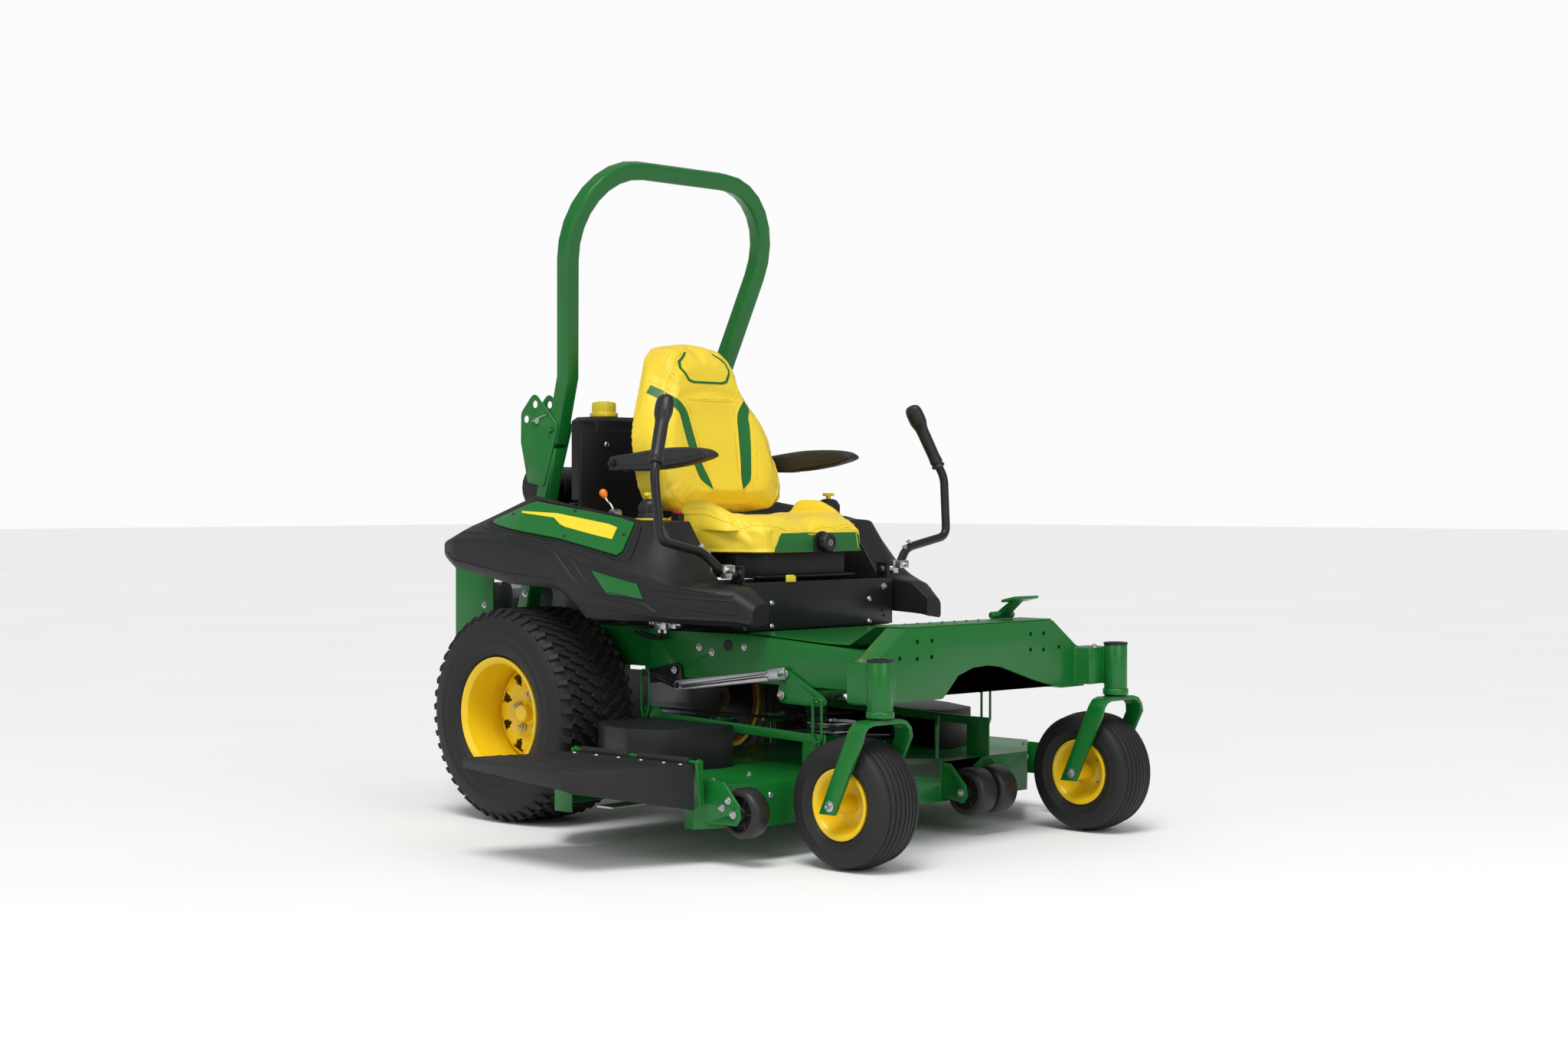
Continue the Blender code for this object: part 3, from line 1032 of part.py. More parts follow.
def deck_shell():
    solid = bmesh.new()
    prism(solid, deck_outline(), "z", DECK_LOW, DECK_TOP)
    deck = place("deck_shell", solid, GREEN)
    inside = bmesh.new()
    prism(inside, deck_outline(DECK_WALL), "z", DECK_LOW - 0.02, DECK_TOP - DECK_WALL)
    combine(deck, "DIFFERENCE", "inside", inside)
    housings = bmesh.new()
    for x, y in spindle_spots().values():
        foot = DECK_TOP - 0.002
        turned(housings, [(0, foot), (0.085, foot), (0.085, foot + 0.008), (HOUSING_R, foot + 0.016), (0.036, HOUSING_TOP),
                          (0, HOUSING_TOP)], "z", (x, y, 0), 14)
    combine(deck, "UNION", "housings", housings)
    bores = bmesh.new()
    for x, y in spindle_spots().values():
        disc(bores, "z", (x, y, 0), SHAFT_R + RUNNING, 0.15, 0.30, 12)
    right = DECK_MID - DECK_HALF
    box(bores, (0.50, 0.93), (right - 0.02, right + 0.02), (DECK_LOW - 0.01, DECK_TOP - 0.010))
    combine(deck, "DIFFERENCE", "bores", bores)
    deck_brackets(deck)
    return deck


def side_plate_outline():
    """The lift plate on each side of the deck: a rear bracket, a strap and a front tab."""
    low = DECK_TOP - 0.002
    rear_pin = LIFT_REAR_X - LIFT_REAR_ARM
    front_pin = LIFT_FRONT_X + LIFT_ARM
    return [(rear_pin - 0.022, low), (rear_pin + 0.060, low), (rear_pin + 0.060, 0.300), (front_pin - 0.060, 0.282),
            (front_pin - 0.060, low), (front_pin + 0.020, low), (front_pin + 0.020, 0.306), (front_pin - 0.065, 0.306),
            (rear_pin + 0.060, 0.326), (rear_pin + 0.045, 0.342), (rear_pin - 0.022, 0.342)]


def hanger_loop(solid, side, x, low, top):
    """A rod bent into a closed loop from a bolt on the deck up over a bellcrank's pin. Its top is flat, so the pin can shift."""
    bend = HANGER_BEND
    crown = top + LIFT_PIN_R + HANGER_SLACK + HANGER_R - HANGER_CORNER
    flat = bend - HANGER_CORNER
    path = []
    for k in (0, 1, 2, 3, 3, 4, 5, 6):
        angle = pi * k / 6
        shift = flat if len(path) < 4 else -flat
        path.append((x + shift + HANGER_CORNER * cos(angle), side * HANGER_Y, crown + HANGER_CORNER * sin(angle)))
    path.append((x - bend, side * HANGER_Y, low + 0.018))
    path.append((x - bend + 0.009, side * HANGER_Y, low - 0.006))
    path.append((x + bend - 0.009, side * HANGER_Y, low - 0.006))
    path.append((x + bend, side * HANGER_Y, low + 0.018))
    sweep(solid, round_section(HANGER_R, 6), path, closed=True)


def deck_lift_plates(deck):
    """The plates that the deck hangs by, with their bolts and hanger loops."""
    heel_x, toe_x = LIFT_REAR_X - LIFT_REAR_ARM, LIFT_FRONT_X + LIFT_ARM
    plates, bolts, loops = bmesh.new(), bmesh.new(), bmesh.new()
    for side in (1, -1):
        prism(plates, side_plate_outline(), "y", *span_y(side, TAB_Y, TAB_Y + TAB_T))
        ends = span_y(side, TAB_Y + 0.002, HANGER_Y + 0.008)
        for x, low, top in ((heel_x, REAR_BOLT_Z, LIFT_REAR_Z - 0.014), (toe_x, FRONT_BOLT_Z, LIFT_FRONT_Z - 0.010)):
            disc(bolts, "y", (x, 0, low), LIFT_PIN_R, *ends, 10)
            hanger_loop(loops, side, x, low, top)
    combine(deck, "UNION", "lift_plates", plates)
    combine(deck, "UNION", "lift_bolts", bolts)
    combine(deck, "UNION", "hanger_loops", loops)


def roller_bracket_outline(root, x, z, top):
    """A cheek in side view, from the deck at root forward to a roller's bolt."""
    return [(root, 0.105), (x + 0.006, z - 0.029), (x + 0.021, z - 0.010), (x + 0.016, z + 0.022),
            (x - 0.040, top), (root, top)]


def deck_roller_brackets(deck):
    cheeks, bolts = bmesh.new(), bmesh.new()
    for y in (TWIN_Y - 0.012, TWIN_Y + 2 * TWIN_W + TWIN_GAP + 0.006):
        prism(cheeks, roller_bracket_outline(DECK_FRONT - 0.003, TWIN_X, TWIN_Z, 0.198), "y", y, y + FINE)
    disc(bolts, "y", (TWIN_X, 0, TWIN_Z), ROLLER_BOLT, TWIN_Y - 0.014, TWIN_Y + 2 * TWIN_W + TWIN_GAP + 0.014, 10)
    half = SIDE_ROLLER_W / 2
    near = RIGHT_ROLLER_Y - half - 0.011
    prism(cheeks, roller_bracket_outline(0.960, RIGHT_ROLLER_X, SIDE_ROLLER_Z, 0.215), "y", near, near + FINE)
    disc(bolts, "y", (RIGHT_ROLLER_X, 0, SIDE_ROLLER_Z), ROLLER_BOLT, near - 0.005, RIGHT_ROLLER_Y + half + 0.004, 10)
    near = LEFT_ROLLER_Y + half + 0.005
    prism(cheeks, roller_bracket_outline(0.880, LEFT_ROLLER_X, SIDE_ROLLER_Z, 0.198), "y", near, near + FINE)
    disc(bolts, "y", (LEFT_ROLLER_X, 0, SIDE_ROLLER_Z), ROLLER_BOLT, LEFT_ROLLER_Y - half - 0.004, near + 0.011, 10)
    combine(deck, "UNION", "cheeks", cheeks)
    combine(deck, "UNION", "roller_bolts", bolts)


def deck_chute_hinge(deck):
    """The rod that the chute swings on, and the two brackets that hold it off the deck's side."""
    hinge = bmesh.new()
    wall = DECK_MID - DECK_HALF
    top, out = CHUTE_HINGE_Z, CHUTE_HINGE_Y
    for x in (0.530, 0.994):
        outline = [(wall + 0.002, 0.150), (wall + 0.002, top + 0.004), (out + 0.004, top + 0.009), (out - 0.008, top + 0.003),
                   (out - 0.008, top - 0.010), (wall - 0.008, 0.150)]
        prism(hinge, outline, "x", x - 0.003, x + 0.003)
    combine(deck, "UNION", "hinge_brackets", hinge)
    rod = bmesh.new()
    disc(rod, "x", (0, out, top), CHUTE_ROD_R, 0.520, 1.002, 10)
    box(rod, (0.9405, 0.996), (wall - 0.004, wall + 0.002), (0.150, 0.240))
    combine(deck, "UNION", "hinge_rod", rod)


def deck_idlers(deck):
    """Two fixed guide pulleys behind, and the height stop's bent handle in front."""
    posts = bmesh.new()
    low = DECK_TOP - 0.002
    for side in (1, -1):
        profile = [(0, low), (0.010, low), (0.010, PULLEY_LOW), (IDLER_R, PULLEY_LOW), (IDLER_R, PULLEY_TOP), (0, PULLEY_TOP)]
        turned(posts, profile, "z", (IDLER_X, DECK_MID + side * IDLER_Y, 0), 16)
    path = rounded_path([(1.000, 0.170, low), (1.000, 0.170, 0.290), (0.985, 0.190, 0.315)], 0.010, 3)
    sweep(posts, round_section(0.006, 8), path)
    combine(deck, "UNION", "idlers", posts)


def deck_brackets(deck):
    deck_lift_plates(deck)
    deck_roller_brackets(deck)
    deck_chute_hinge(deck)
    deck_idlers(deck)


def cover_outline(side, inset=0.0):
    """A belt cover in plan, outboard of the lift plates. The left one reaches further forward."""
    nose = (0.86 if side > 0 else 0.74) - inset
    rear, inner, outer = 0.385 + inset, COVER_IN + inset, 0.625 - inset
    outline = [(rear, inner), (nose - 0.01, inner), (nose, inner + 0.06), (nose - 0.03, outer - 0.10), (0.690, outer - 0.03),
               (0.600, outer), (0.500, outer - 0.02), (rear, outer - 0.09)]
    return mirrored_y(outline, side)


def belt_cover(label, side):
    low, ceiling = DECK_TOP + GAP, COVER_TOP - COVER_WALL
    solid = bmesh.new()
    prism(solid, cover_outline(side), "z", low, COVER_TOP)
    cover = place(f"belt_cover_{label}", solid, BLACK)
    inside = bmesh.new()
    prism(inside, cover_outline(side, COVER_WALL), "z", low - 0.02, ceiling)
    box(inside, (0.44, 0.84 if side > 0 else 0.72), span_y(side, COVER_IN - 0.01, COVER_IN + 0.01), (low - 0.03, ceiling - 0.006))
    combine(cover, "DIFFERENCE", "inside", inside)
    return cover


def belt_wheels(spread):
    """The pulleys that the belt runs round, from the clutch. spread moves the line out or in."""
    spots = spindle_spots()
    groove = PULLEY_R - 0.0045 + spread
    idle = IDLER_R + BELT_CLEAR + BELT_T / 2 - spread
    return [(ENGINE_X, DECK_MID, CLUTCH_R + BELT_CLEAR + BELT_T / 2 + spread, 1), (IDLER_X, DECK_MID - IDLER_Y, idle, -1),
            (*spots["right"], groove, 1), (*spots["centre"], groove, 1), (*spots["left"], groove, 1),
            (IDLER_X, DECK_MID + IDLER_Y, idle, -1)]


def drive_belt():
    low, high = BELT_MID_Z - BELT_H / 2, BELT_MID_Z + BELT_H / 2
    solid = bmesh.new()
    prism(solid, wrap(belt_wheels(BELT_T / 2), 10), "z", low, high)
    belt = place("drive_belt", solid, RUBBER)
    inside = bmesh.new()
    prism(inside, wrap(belt_wheels(-BELT_T / 2), 10), "z", low - 0.01, high + 0.01)
    combine(belt, "DIFFERENCE", "inside", inside)
    return belt


def spindle(label, x, y):
    """Blade, shaft and grooved pulley, which turn as one."""
    under = DECK_TOP - DECK_WALL - 0.004
    profile = [
        (0, BLADE_Z - 0.012), (0.014, BLADE_Z - 0.012), (0.014, BLADE_Z + 0.001), (0.030, BLADE_Z + 0.002), (0.030, under),
        (SHAFT_R, under), (SHAFT_R, HOUSING_TOP + 0.001), (0.022, HOUSING_TOP + 0.001), (0.022, PULLEY_LOW), (PULLEY_R, PULLEY_LOW),
        (PULLEY_R, PULLEY_LOW + 0.004), (PULLEY_R - 0.010, BELT_MID_Z - BELT_H / 2 - 0.0005),
        (PULLEY_R - 0.010, BELT_MID_Z + BELT_H / 2 + 0.0005), (PULLEY_R, PULLEY_TOP - 0.004), (PULLEY_R, PULLEY_TOP),
        (0.012, PULLEY_TOP), (0.012, PULLEY_TOP + 0.008), (0, PULLEY_TOP + 0.008),
    ]
    solid = bmesh.new()
    turned(solid, profile, "z", (x, y, 0), 16)
    piece = place(f"spindle_{label}", solid, STEEL, (x, y, BLADE_Z))
    blade = bmesh.new()
    box(blade, (x - BLADE_W / 2, x + BLADE_W / 2), (y - BLADE_R, y + BLADE_R), (BLADE_Z, BLADE_Z + BLADE_T))
    combine(piece, "UNION", "blade", blade)
    return piece


def roller(name, x, y, z, radius, widths):
    """Rollers side by side on a bolt along y. widths are rising (low, high) pairs on y."""
    edge, neck = 0.012, 0.016
    profile = [(ROLLER_BORE, widths[0][0])]
    for low, high in widths:
        profile += [(neck, low), (radius - edge, low), (radius, low + edge), (radius, high - edge), (radius - edge, high), (neck, high)]
    profile.append((ROLLER_BORE, widths[-1][1]))
    solid = bmesh.new()
    turned(solid, profile, "y", (x, 0, z), 18, ring=True)
    return place(name, solid, BLACK, (x, y, z))


def rollers():
    first = (TWIN_Y, TWIN_Y + TWIN_W)
    second = (first[1] + TWIN_GAP, first[1] + TWIN_GAP + TWIN_W)
    roller("twin_rollers", TWIN_X, TWIN_Y, TWIN_Z, TWIN_R, [first, second])
    half = SIDE_ROLLER_W / 2
    for name, x, y in (("roller_right", RIGHT_ROLLER_X, RIGHT_ROLLER_Y), ("roller_left", LEFT_ROLLER_X, LEFT_ROLLER_Y)):
        roller(name, x, y, SIDE_ROLLER_Z, SIDE_ROLLER_R, [(y - half, y + half)])


def discharge_chute():
    """A rubber deflector on a hinge: flat top, tall front wall, thin outer lip, open behind."""
    pivot = (0.77, CHUTE_HINGE_Y, CHUTE_HINGE_Z)
    near = CHUTE_HINGE_Y - 0.004
    plan = [(CHUTE_FRONT - 0.004, near), (0.890, CHUTE_OUT + 0.012), (0.870, CHUTE_OUT), (CHUTE_REAR + 0.03, CHUTE_OUT + 0.015),
            (CHUTE_REAR, CHUTE_OUT + 0.04), (0.540, near)]
    solid = bmesh.new()
    prism(solid, plan, "z", CHUTE_TOP - CHUTE_T, CHUTE_TOP)
    chute = place("discharge_chute", solid, RUBBER, pivot)
    wall = bmesh.new()
    top, t = CHUTE_TOP - 0.002, CHUTE_T
    (x0, y0), (x1, y1), (x2, y2) = plan[0], plan[1], plan[2]
    low0, low1, low2 = 0.142, 0.204, 0.212
    loft(wall, [
        [(x0, y0, low0), (x0, y0, top), (x0 - t, y0, top), (x0 - t, y0, low0)],
        [(x1, y1, low1), (x1, y1, top), (x1 - t, y1 + t, top), (x1 - t, y1 + t, low1)],
        [(x2, y2, low2), (x2, y2, top), (x2 - t, y2 + t, top), (x2 - t, y2 + t, low2)],
        [(plan[3][0], plan[3][1], 0.236), (plan[3][0], plan[3][1], top), (plan[3][0], plan[3][1] + t, top),
         (plan[3][0], plan[3][1] + t, 0.236)],
    ])
    combine(chute, "UNION", "walls", wall)
    barrel = bmesh.new()
    for low, high in ((0.560, 0.740), (0.780, 0.965)):
        disc(barrel, "x", (0, CHUTE_HINGE_Y, CHUTE_HINGE_Z), CHUTE_BARREL_R, low, high, 12)
    combine(chute, "UNION", "barrels", barrel)
    bore = bmesh.new()
    disc(bore, "x", (0, CHUTE_HINGE_Y, CHUTE_HINGE_Z), CHUTE_ROD_R + RUNNING, 0.50, 1.05, 12)
    combine(chute, "DIFFERENCE", "bore", bore)
    return chute


# ---------------------------------------------------------------- deck lift
def rear_link_arm():
    """The arm that keeps both bellcranks in step with one straight link."""
    return LIFT_LINK_ARM * LIFT_REAR_ARM / LIFT_ARM


def lift_shaft(name, pivot, kind, outline, pins):
    """A cross shaft with a bellcrank on each end. pins are (x, z) places for their pins."""
    solid = bmesh.new()
    disc(solid, "y", pivot, LIFT_SHAFT_R, -CRANK_Y - 0.014, CRANK_Y + 0.014, 14)
    shaft = place(name, solid, kind, pivot)
    plates, bolts = bmesh.new(), bmesh.new()
    for side in (1, -1):
        prism(plates, outline, "y", *span_y(side, CRANK_Y, CRANK_Y + CRANK_T))
        for x, z in pins:
            disc(bolts, "y", (x, 0, z), LIFT_PIN_R, *span_y(side, CRANK_Y + 0.002, HANGER_Y + 0.007), 10)
    combine(shaft, "UNION", "plates", plates)
    combine(shaft, "UNION", "pins", bolts)
    return shaft


def lift_front():
    hub_x, hub_z = LIFT_FRONT_X, LIFT_FRONT_Z
    toe, top = (hub_x + LIFT_ARM, hub_z - 0.010), (hub_x + 0.008, hub_z + LIFT_LINK_ARM)
    outline = wrap([(hub_x, hub_z, 0.022, 1), (*toe, 0.014, 1), (*top, 0.014, 1)], 3)
    return lift_shaft("lift_front", (hub_x, 0.0, hub_z), GREEN, outline, (toe, top))


def lift_rear():
    hub_x, hub_z = LIFT_REAR_X, LIFT_REAR_Z
    heel, foot = (hub_x - LIFT_REAR_ARM, hub_z - 0.014), (hub_x + LINK_LEAN, hub_z - rear_link_arm())
    outline = wrap([(hub_x, hub_z, 0.020, 1), (*heel, 0.012, 1), (*foot, 0.012, 1)], 3)
    return lift_shaft("lift_rear", (hub_x, 0.0, hub_z), SHEET, outline, (heel, foot))


def link_bar(label, side):
    """The straight bar between the bellcranks. Its eyes leave the pins room to swing."""
    front = (LIFT_FRONT_X + 0.008, LIFT_FRONT_Z + LIFT_LINK_ARM)
    rear = (LIFT_REAR_X + LINK_LEAN, LIFT_REAR_Z - rear_link_arm())
    eye, hole, near = 0.014, LIFT_PIN_R + 0.0036, CRANK_Y + CRANK_T + GAP
    solid = bmesh.new()
    prism(solid, wrap([(*rear, eye, 1), (*front, eye, 1)], 6), "y", *span_y(side, near, near + LINK_T))
    bar = place(f"link_bar_{label}", solid, STEEL)
    eyes = bmesh.new()
    for x, z in (front, rear):
        disc(eyes, "y", (x, 0, z), hole, -0.37, 0.37, 14)
    combine(bar, "DIFFERENCE", "eyes", eyes)
    return bar


def lift_pedal():
    pivot = (PEDAL_X, PEDAL_Y, PEDAL_Z)
    solid = bmesh.new()
    disc(solid, "y", pivot, 0.010, PEDAL_Y - 0.045, PEDAL_Y + 0.045, 12)
    pedal = place("lift_pedal", solid, GREEN, pivot)
    arm = bmesh.new()
    outline = wrap([(PEDAL_X, PEDAL_Z, 0.008, 1), (PEDAL_X + 0.060, PEDAL_Z + 0.045, 0.004, 1)], 3)
    prism(arm, outline, "y", PEDAL_Y - 0.020, PEDAL_Y + 0.020)
    combine(pedal, "UNION", "arm", arm)
    tread = bmesh.new()
    outline = wrap([(PEDAL_X + 0.040, PEDAL_Z + 0.040, 0.004, 1), (PEDAL_X + 0.085, PEDAL_Z + 0.050, 0.004, 1)], 2)
    prism(tread, outline, "y", PEDAL_Y - 0.050, PEDAL_Y + 0.050)
    combine(pedal, "UNION", "tread", tread)
    return pedal


def clutch_pulley():
    """The engine's power take-off: shaft, clutch and the long pulley that lets the belt rise with the deck."""
    spot = (ENGINE_X, 0, 0)
    profile = [(0, 0.215), (CLUTCH_R, 0.215), (CLUTCH_R, 0.362), (0.070, 0.364), (0.070, 0.430), (0.016, 0.434),
               (0.016, ENGINE_LOW - GAP), (0, ENGINE_LOW - GAP)]
    solid = bmesh.new()
    turned(solid, profile, "z", (ENGINE_X, DECK_MID, 0), 20)
    return place("clutch_pulley", solid, CAST, (spot[0], DECK_MID, 0.40))


def build():
    clear_scene()
    mower = bpy.data.objects.new("mower", None)
    mower.location = (-ORIGIN_X, -ORIGIN_Y, 0.0)
    bpy.context.scene.collection.objects.link(mower)
    wheels()
    for make in (
        frame_rails, front_beam, foot_platform, rear_guard, rops_hoop, engine_block, engine_covers, oil_tank,
        transmissions, fuel_caps, throttle_lever, seat_base, seat_suspension, seat_pan, seat_cushion, seat_back,
        back_shell, seat_knob, belt_buckle, belt_reel, buckle_button, deck_shell, drive_belt, rollers,
        discharge_chute, lift_front, lift_rear, lift_pedal, clutch_pulley,
    ):
        make()
    for label, side in SIDES.items():
        for make in (rops_post, side_pod, armrest, lever_base, control_lever, belt_cover, link_bar):
            make(label, side)
    for label, (x, y) in spindle_spots().items():
        spindle(label, x, y)


build()
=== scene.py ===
import math
import bpy
import bmesh
from mathutils import Matrix, Vector
from mathutils.bvhtree import BVHTree


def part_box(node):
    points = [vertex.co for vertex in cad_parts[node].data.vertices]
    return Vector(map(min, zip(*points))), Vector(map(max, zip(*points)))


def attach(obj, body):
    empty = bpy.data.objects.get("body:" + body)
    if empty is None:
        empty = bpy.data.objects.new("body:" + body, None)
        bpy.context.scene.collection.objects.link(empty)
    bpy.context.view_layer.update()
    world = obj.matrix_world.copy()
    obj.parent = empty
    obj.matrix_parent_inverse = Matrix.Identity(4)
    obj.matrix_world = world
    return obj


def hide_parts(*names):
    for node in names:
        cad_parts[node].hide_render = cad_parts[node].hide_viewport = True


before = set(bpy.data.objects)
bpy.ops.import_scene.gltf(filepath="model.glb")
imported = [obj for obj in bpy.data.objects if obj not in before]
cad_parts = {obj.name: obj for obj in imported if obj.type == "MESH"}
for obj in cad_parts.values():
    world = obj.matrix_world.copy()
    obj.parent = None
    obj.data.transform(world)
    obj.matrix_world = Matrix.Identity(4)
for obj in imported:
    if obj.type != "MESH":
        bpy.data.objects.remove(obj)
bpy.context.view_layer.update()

# the rear axle's middle on the ground is the starting point of every size below
leftTyre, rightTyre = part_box("drive_tyre_left"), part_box("drive_tyre_right")
axle = (leftTyre[0] + leftTyre[1] + rightTyre[0] + rightTyre[1]) / 4
home = Vector((axle.x, axle.y, 0.0))
sides = {"left": 1, "right": -1}


# ---- small mesh helpers, all in metres from the rear axle ----
def facing(spot, direction):
    turn = Vector(direction).normalized().to_track_quat("Z", "Y").to_matrix().to_4x4()
    return Matrix.Translation(Vector(spot)) @ turn


def softenEdges(bm, width, segments=2, angle=25, edges=None):
    pool = edges if edges is not None else bm.edges
    sharp = [e for e in pool if len(e.link_faces) == 2 and e.calc_face_angle(0) > math.radians(angle)]
    if sharp and width > 0:
        bmesh.ops.bevel(bm, geom=sharp, offset=width, offset_type="OFFSET", segments=segments, profile=0.5,
                        affect="EDGES", clamp_overlap=True, material=-1)


def block(bm, x, y, z, soft=0.0, segments=2):
    middle = Vector(((x[0] + x[1]) / 2, (y[0] + y[1]) / 2, (z[0] + z[1]) / 2))
    size = Matrix.Diagonal((abs(x[1] - x[0]), abs(y[1] - y[0]), abs(z[1] - z[0]), 1))
    made = bmesh.ops.create_cube(bm, size=1, matrix=Matrix.Translation(middle) @ size)["verts"]
    softenEdges(bm, soft, segments, edges=list({e for v in made for e in v.link_edges}))


def rod(bm, spot, direction, radius, length, steps=20, soft=0.0, tip=None):
    made = bmesh.ops.create_cone(bm, cap_ends=True, segments=steps, radius1=radius,
                                 radius2=radius if tip is None else tip,
                                 depth=length,
                                 matrix=facing(Vector(spot) + Vector(direction).normalized() * length / 2, direction))
    rims = [e for e in {e for v in made["verts"] for e in v.link_edges} if e.calc_face_angle(0) > math.radians(40)]
    if soft:
        softenEdges(bm, soft, 2, 40, rims)


def lathe(bm, profile, spot, direction=(0, 0, 1), steps=48, closed=False):
    # profile is (radius, height) pairs, turned about the direction through the spot
    part = bmesh.new()
    line = [part.verts.new((r, 0, h)) for r, h in profile]
    edges = [part.edges.new(pair) for pair in zip(line, line[1:] + (line[:1] if closed else []))]
    bmesh.ops.spin(part, geom=line + edges, cent=(0, 0, 0), axis=(0, 0, 1), angle=2 * math.pi, steps=steps,
                   use_merge=True)
    bmesh.ops.remove_doubles(part, verts=part.verts, dist=1e-6)
    bmesh.ops.recalc_face_normals(part, faces=part.faces)
    bmesh.ops.transform(part, matrix=facing(spot, direction), verts=part.verts)
    addTo(bm, part)


def addTo(bm, part):
    passing = bpy.data.meshes.new("passing")
    part.to_mesh(passing)
    part.free()
    bm.from_mesh(passing)
    bpy.data.meshes.remove(passing)


def plate(bm, outline, axis, low, high, soft=0.0, segments=2):
    # outline is in the two other axes, in x y z order
    part = bmesh.new()
    place = {"x": lambda u, v: (low, u, v), "y": lambda u, v: (u, low, v), "z": lambda u, v: (u, v, low)}[axis]
    face = part.faces.new([part.verts.new(place(u, v)) for u, v in outline])
    way = {"x": Vector((1, 0, 0)), "y": Vector((0, 1, 0)), "z": Vector((0, 0, 1))}[axis] * (high - low)
    grown = bmesh.ops.extrude_face_region(part, geom=[face])["geom"]
    bmesh.ops.translate(part, vec=way, verts=[v for v in grown if isinstance(v, bmesh.types.BMVert)])
    bmesh.ops.recalc_face_normals(part, faces=part.faces)
    softenEdges(part, soft, segments)
    addTo(bm, part)


def tube(bm, points, radius, resolution=4, closed=False):
    # a wire or pipe along the points
    line = bpy.data.curves.new("pipe", "CURVE")
    line.dimensions, line.bevel_depth, line.bevel_resolution, line.use_fill_caps = "3D", radius, resolution, True
    spline = line.splines.new("POLY")
    spline.points.add(len(points) - 1)
    for spot, point in zip(spline.points, points):
        spot.co = (*point, 1)
    spline.use_cyclic_u = closed
    holder = bpy.data.objects.new("pipe", line)
    bpy.context.scene.collection.objects.link(holder)
    made = holder.evaluated_get(bpy.context.evaluated_depsgraph_get()).to_mesh()
    bm.from_mesh(made)
    holder.to_mesh_clear()
    bpy.data.objects.remove(holder)
    bpy.data.curves.remove(line)


def smoothLine(points, steps=8):
    # an even curve through the points
    spots = [Vector(p) for p in points]
    ends = [2 * spots[0] - spots[1]] + spots + [2 * spots[-1] - spots[-2]]
    line = []
    for a, b, c, d in zip(ends, ends[1:], ends[2:], ends[3:]):
        for k in range(steps):
            t = k / steps
            line.append(0.5 * (2 * b + (c - a) * t + (2 * a - 5 * b + 4 * c - d) * t * t
                               + (3 * b - a - 3 * c + d) * t ** 3))
    return line + [spots[-1]]


def hexHead(bm, spot, direction, across=0.013, washer=True):
    out = Vector(direction).normalized()
    if washer:
        rod(bm, Vector(spot) - out * 0.0005, out, across * 0.82, 0.0022, 20, 0.0004)
    rod(bm, Vector(spot) + out * 0.0012, out, across * 0.577, across * 0.45, 6, 0.0007)
    rod(bm, Vector(spot) + out * across * 0.5, out, across * 0.26, across * 0.28, 12, 0.0004)


def domeHead(bm, spot, direction, radius=0.01):
    profile = [(0, 0.55 * radius)] + [(radius * math.sin(a),
                                       radius * 0.55 * math.cos(a)) for a in (0.3, 0.6, 0.9, 1.2, 1.45)]
    lathe(bm, profile + [(radius, 0), (radius, -0.001), (0, -0.001)], spot, direction, 24)


def pinHead(bm, spot, direction, radius=0.006, length=0.006):
    rod(bm, Vector(spot), direction, radius, length, 20, 0.0012)


def settle(name, bm, look, body, stands=(), smooth=32, shift=True, turnOut=True):
    # the finished mesh becomes an object at the origin that rides on its body
    if turnOut:
        bmesh.ops.recalc_face_normals(bm, faces=bm.faces)
    if shift:
        bmesh.ops.translate(bm, vec=home, verts=bm.verts)
    data = bpy.data.meshes.new(name)
    bm.to_mesh(data)
    bm.free()
    data.shade_smooth()
    data.set_sharp_from_angle(angle=math.radians(smooth))
    data.materials.clear()
    data.materials.append(looks[look])
    piece = bpy.data.objects.new(name, data)
    bpy.context.scene.collection.objects.link(piece)
    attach(piece, body)
    if stands:
        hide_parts(*stands)
    return piece


def refine(piece):
    finer = piece.modifiers.new("finer", "SUBSURF")
    finer.levels = finer.render_levels = 1


def looseCopy(node):
    bm = bmesh.new()
    bm.from_mesh(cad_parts[node].data)
    bmesh.ops.remove_doubles(bm, verts=bm.verts, dist=2e-5)
    bmesh.ops.recalc_face_normals(bm, faces=bm.faces)
    return bm


def spread(bm):
    spots = [v.co for v in bm.verts]
    return [f(s[k] for s in spots) for k in range(3) for f in (min, max)]


def easedCopy(node, look, body, width, slot=None):
    # the node again with its edges eased, taking the widest rounding that keeps its size
    bare = looseCopy(node)
    size, volume = spread(bare), abs(bare.calc_volume())
    bare.free()
    for share in (1.0, 0.6, 0.3, 0.0):
        bm = looseCopy(node)
        bmesh.ops.dissolve_limit(bm, angle_limit=math.radians(1.5), verts=bm.verts, edges=bm.edges)
        if share:
            sharp = [e for e in bm.edges if len(e.link_faces) == 2 and e.calc_face_angle(0) > math.radians(28)
                     and e.calc_length() > 0.004]
            bmesh.ops.bevel(bm, geom=sharp, offset=width * share, offset_type="OFFSET", segments=2, profile=0.5,
                            affect="EDGES", clamp_overlap=False, loop_slide=True, material=-1)
            bmesh.ops.triangulate(bm, faces=[f for f in bm.faces if len(f.verts) > 4])
        grown = max(abs(a - b) for a, b in zip(spread(bm), size))
        tight = all(len(e.link_faces) == 2 for e in bm.edges)
        if share == 0 or (grown < 0.0006 and tight and abs(abs(bm.calc_volume()) / volume - 1) < 0.06):
            break
        bm.free()
    print("eased", node, round(width * share * 1000, 2), "mm")
    settle(node + "_body", bm, look, body, (node,), shift=False, turnOut=False)


# ---- finishes ----
looks = {}


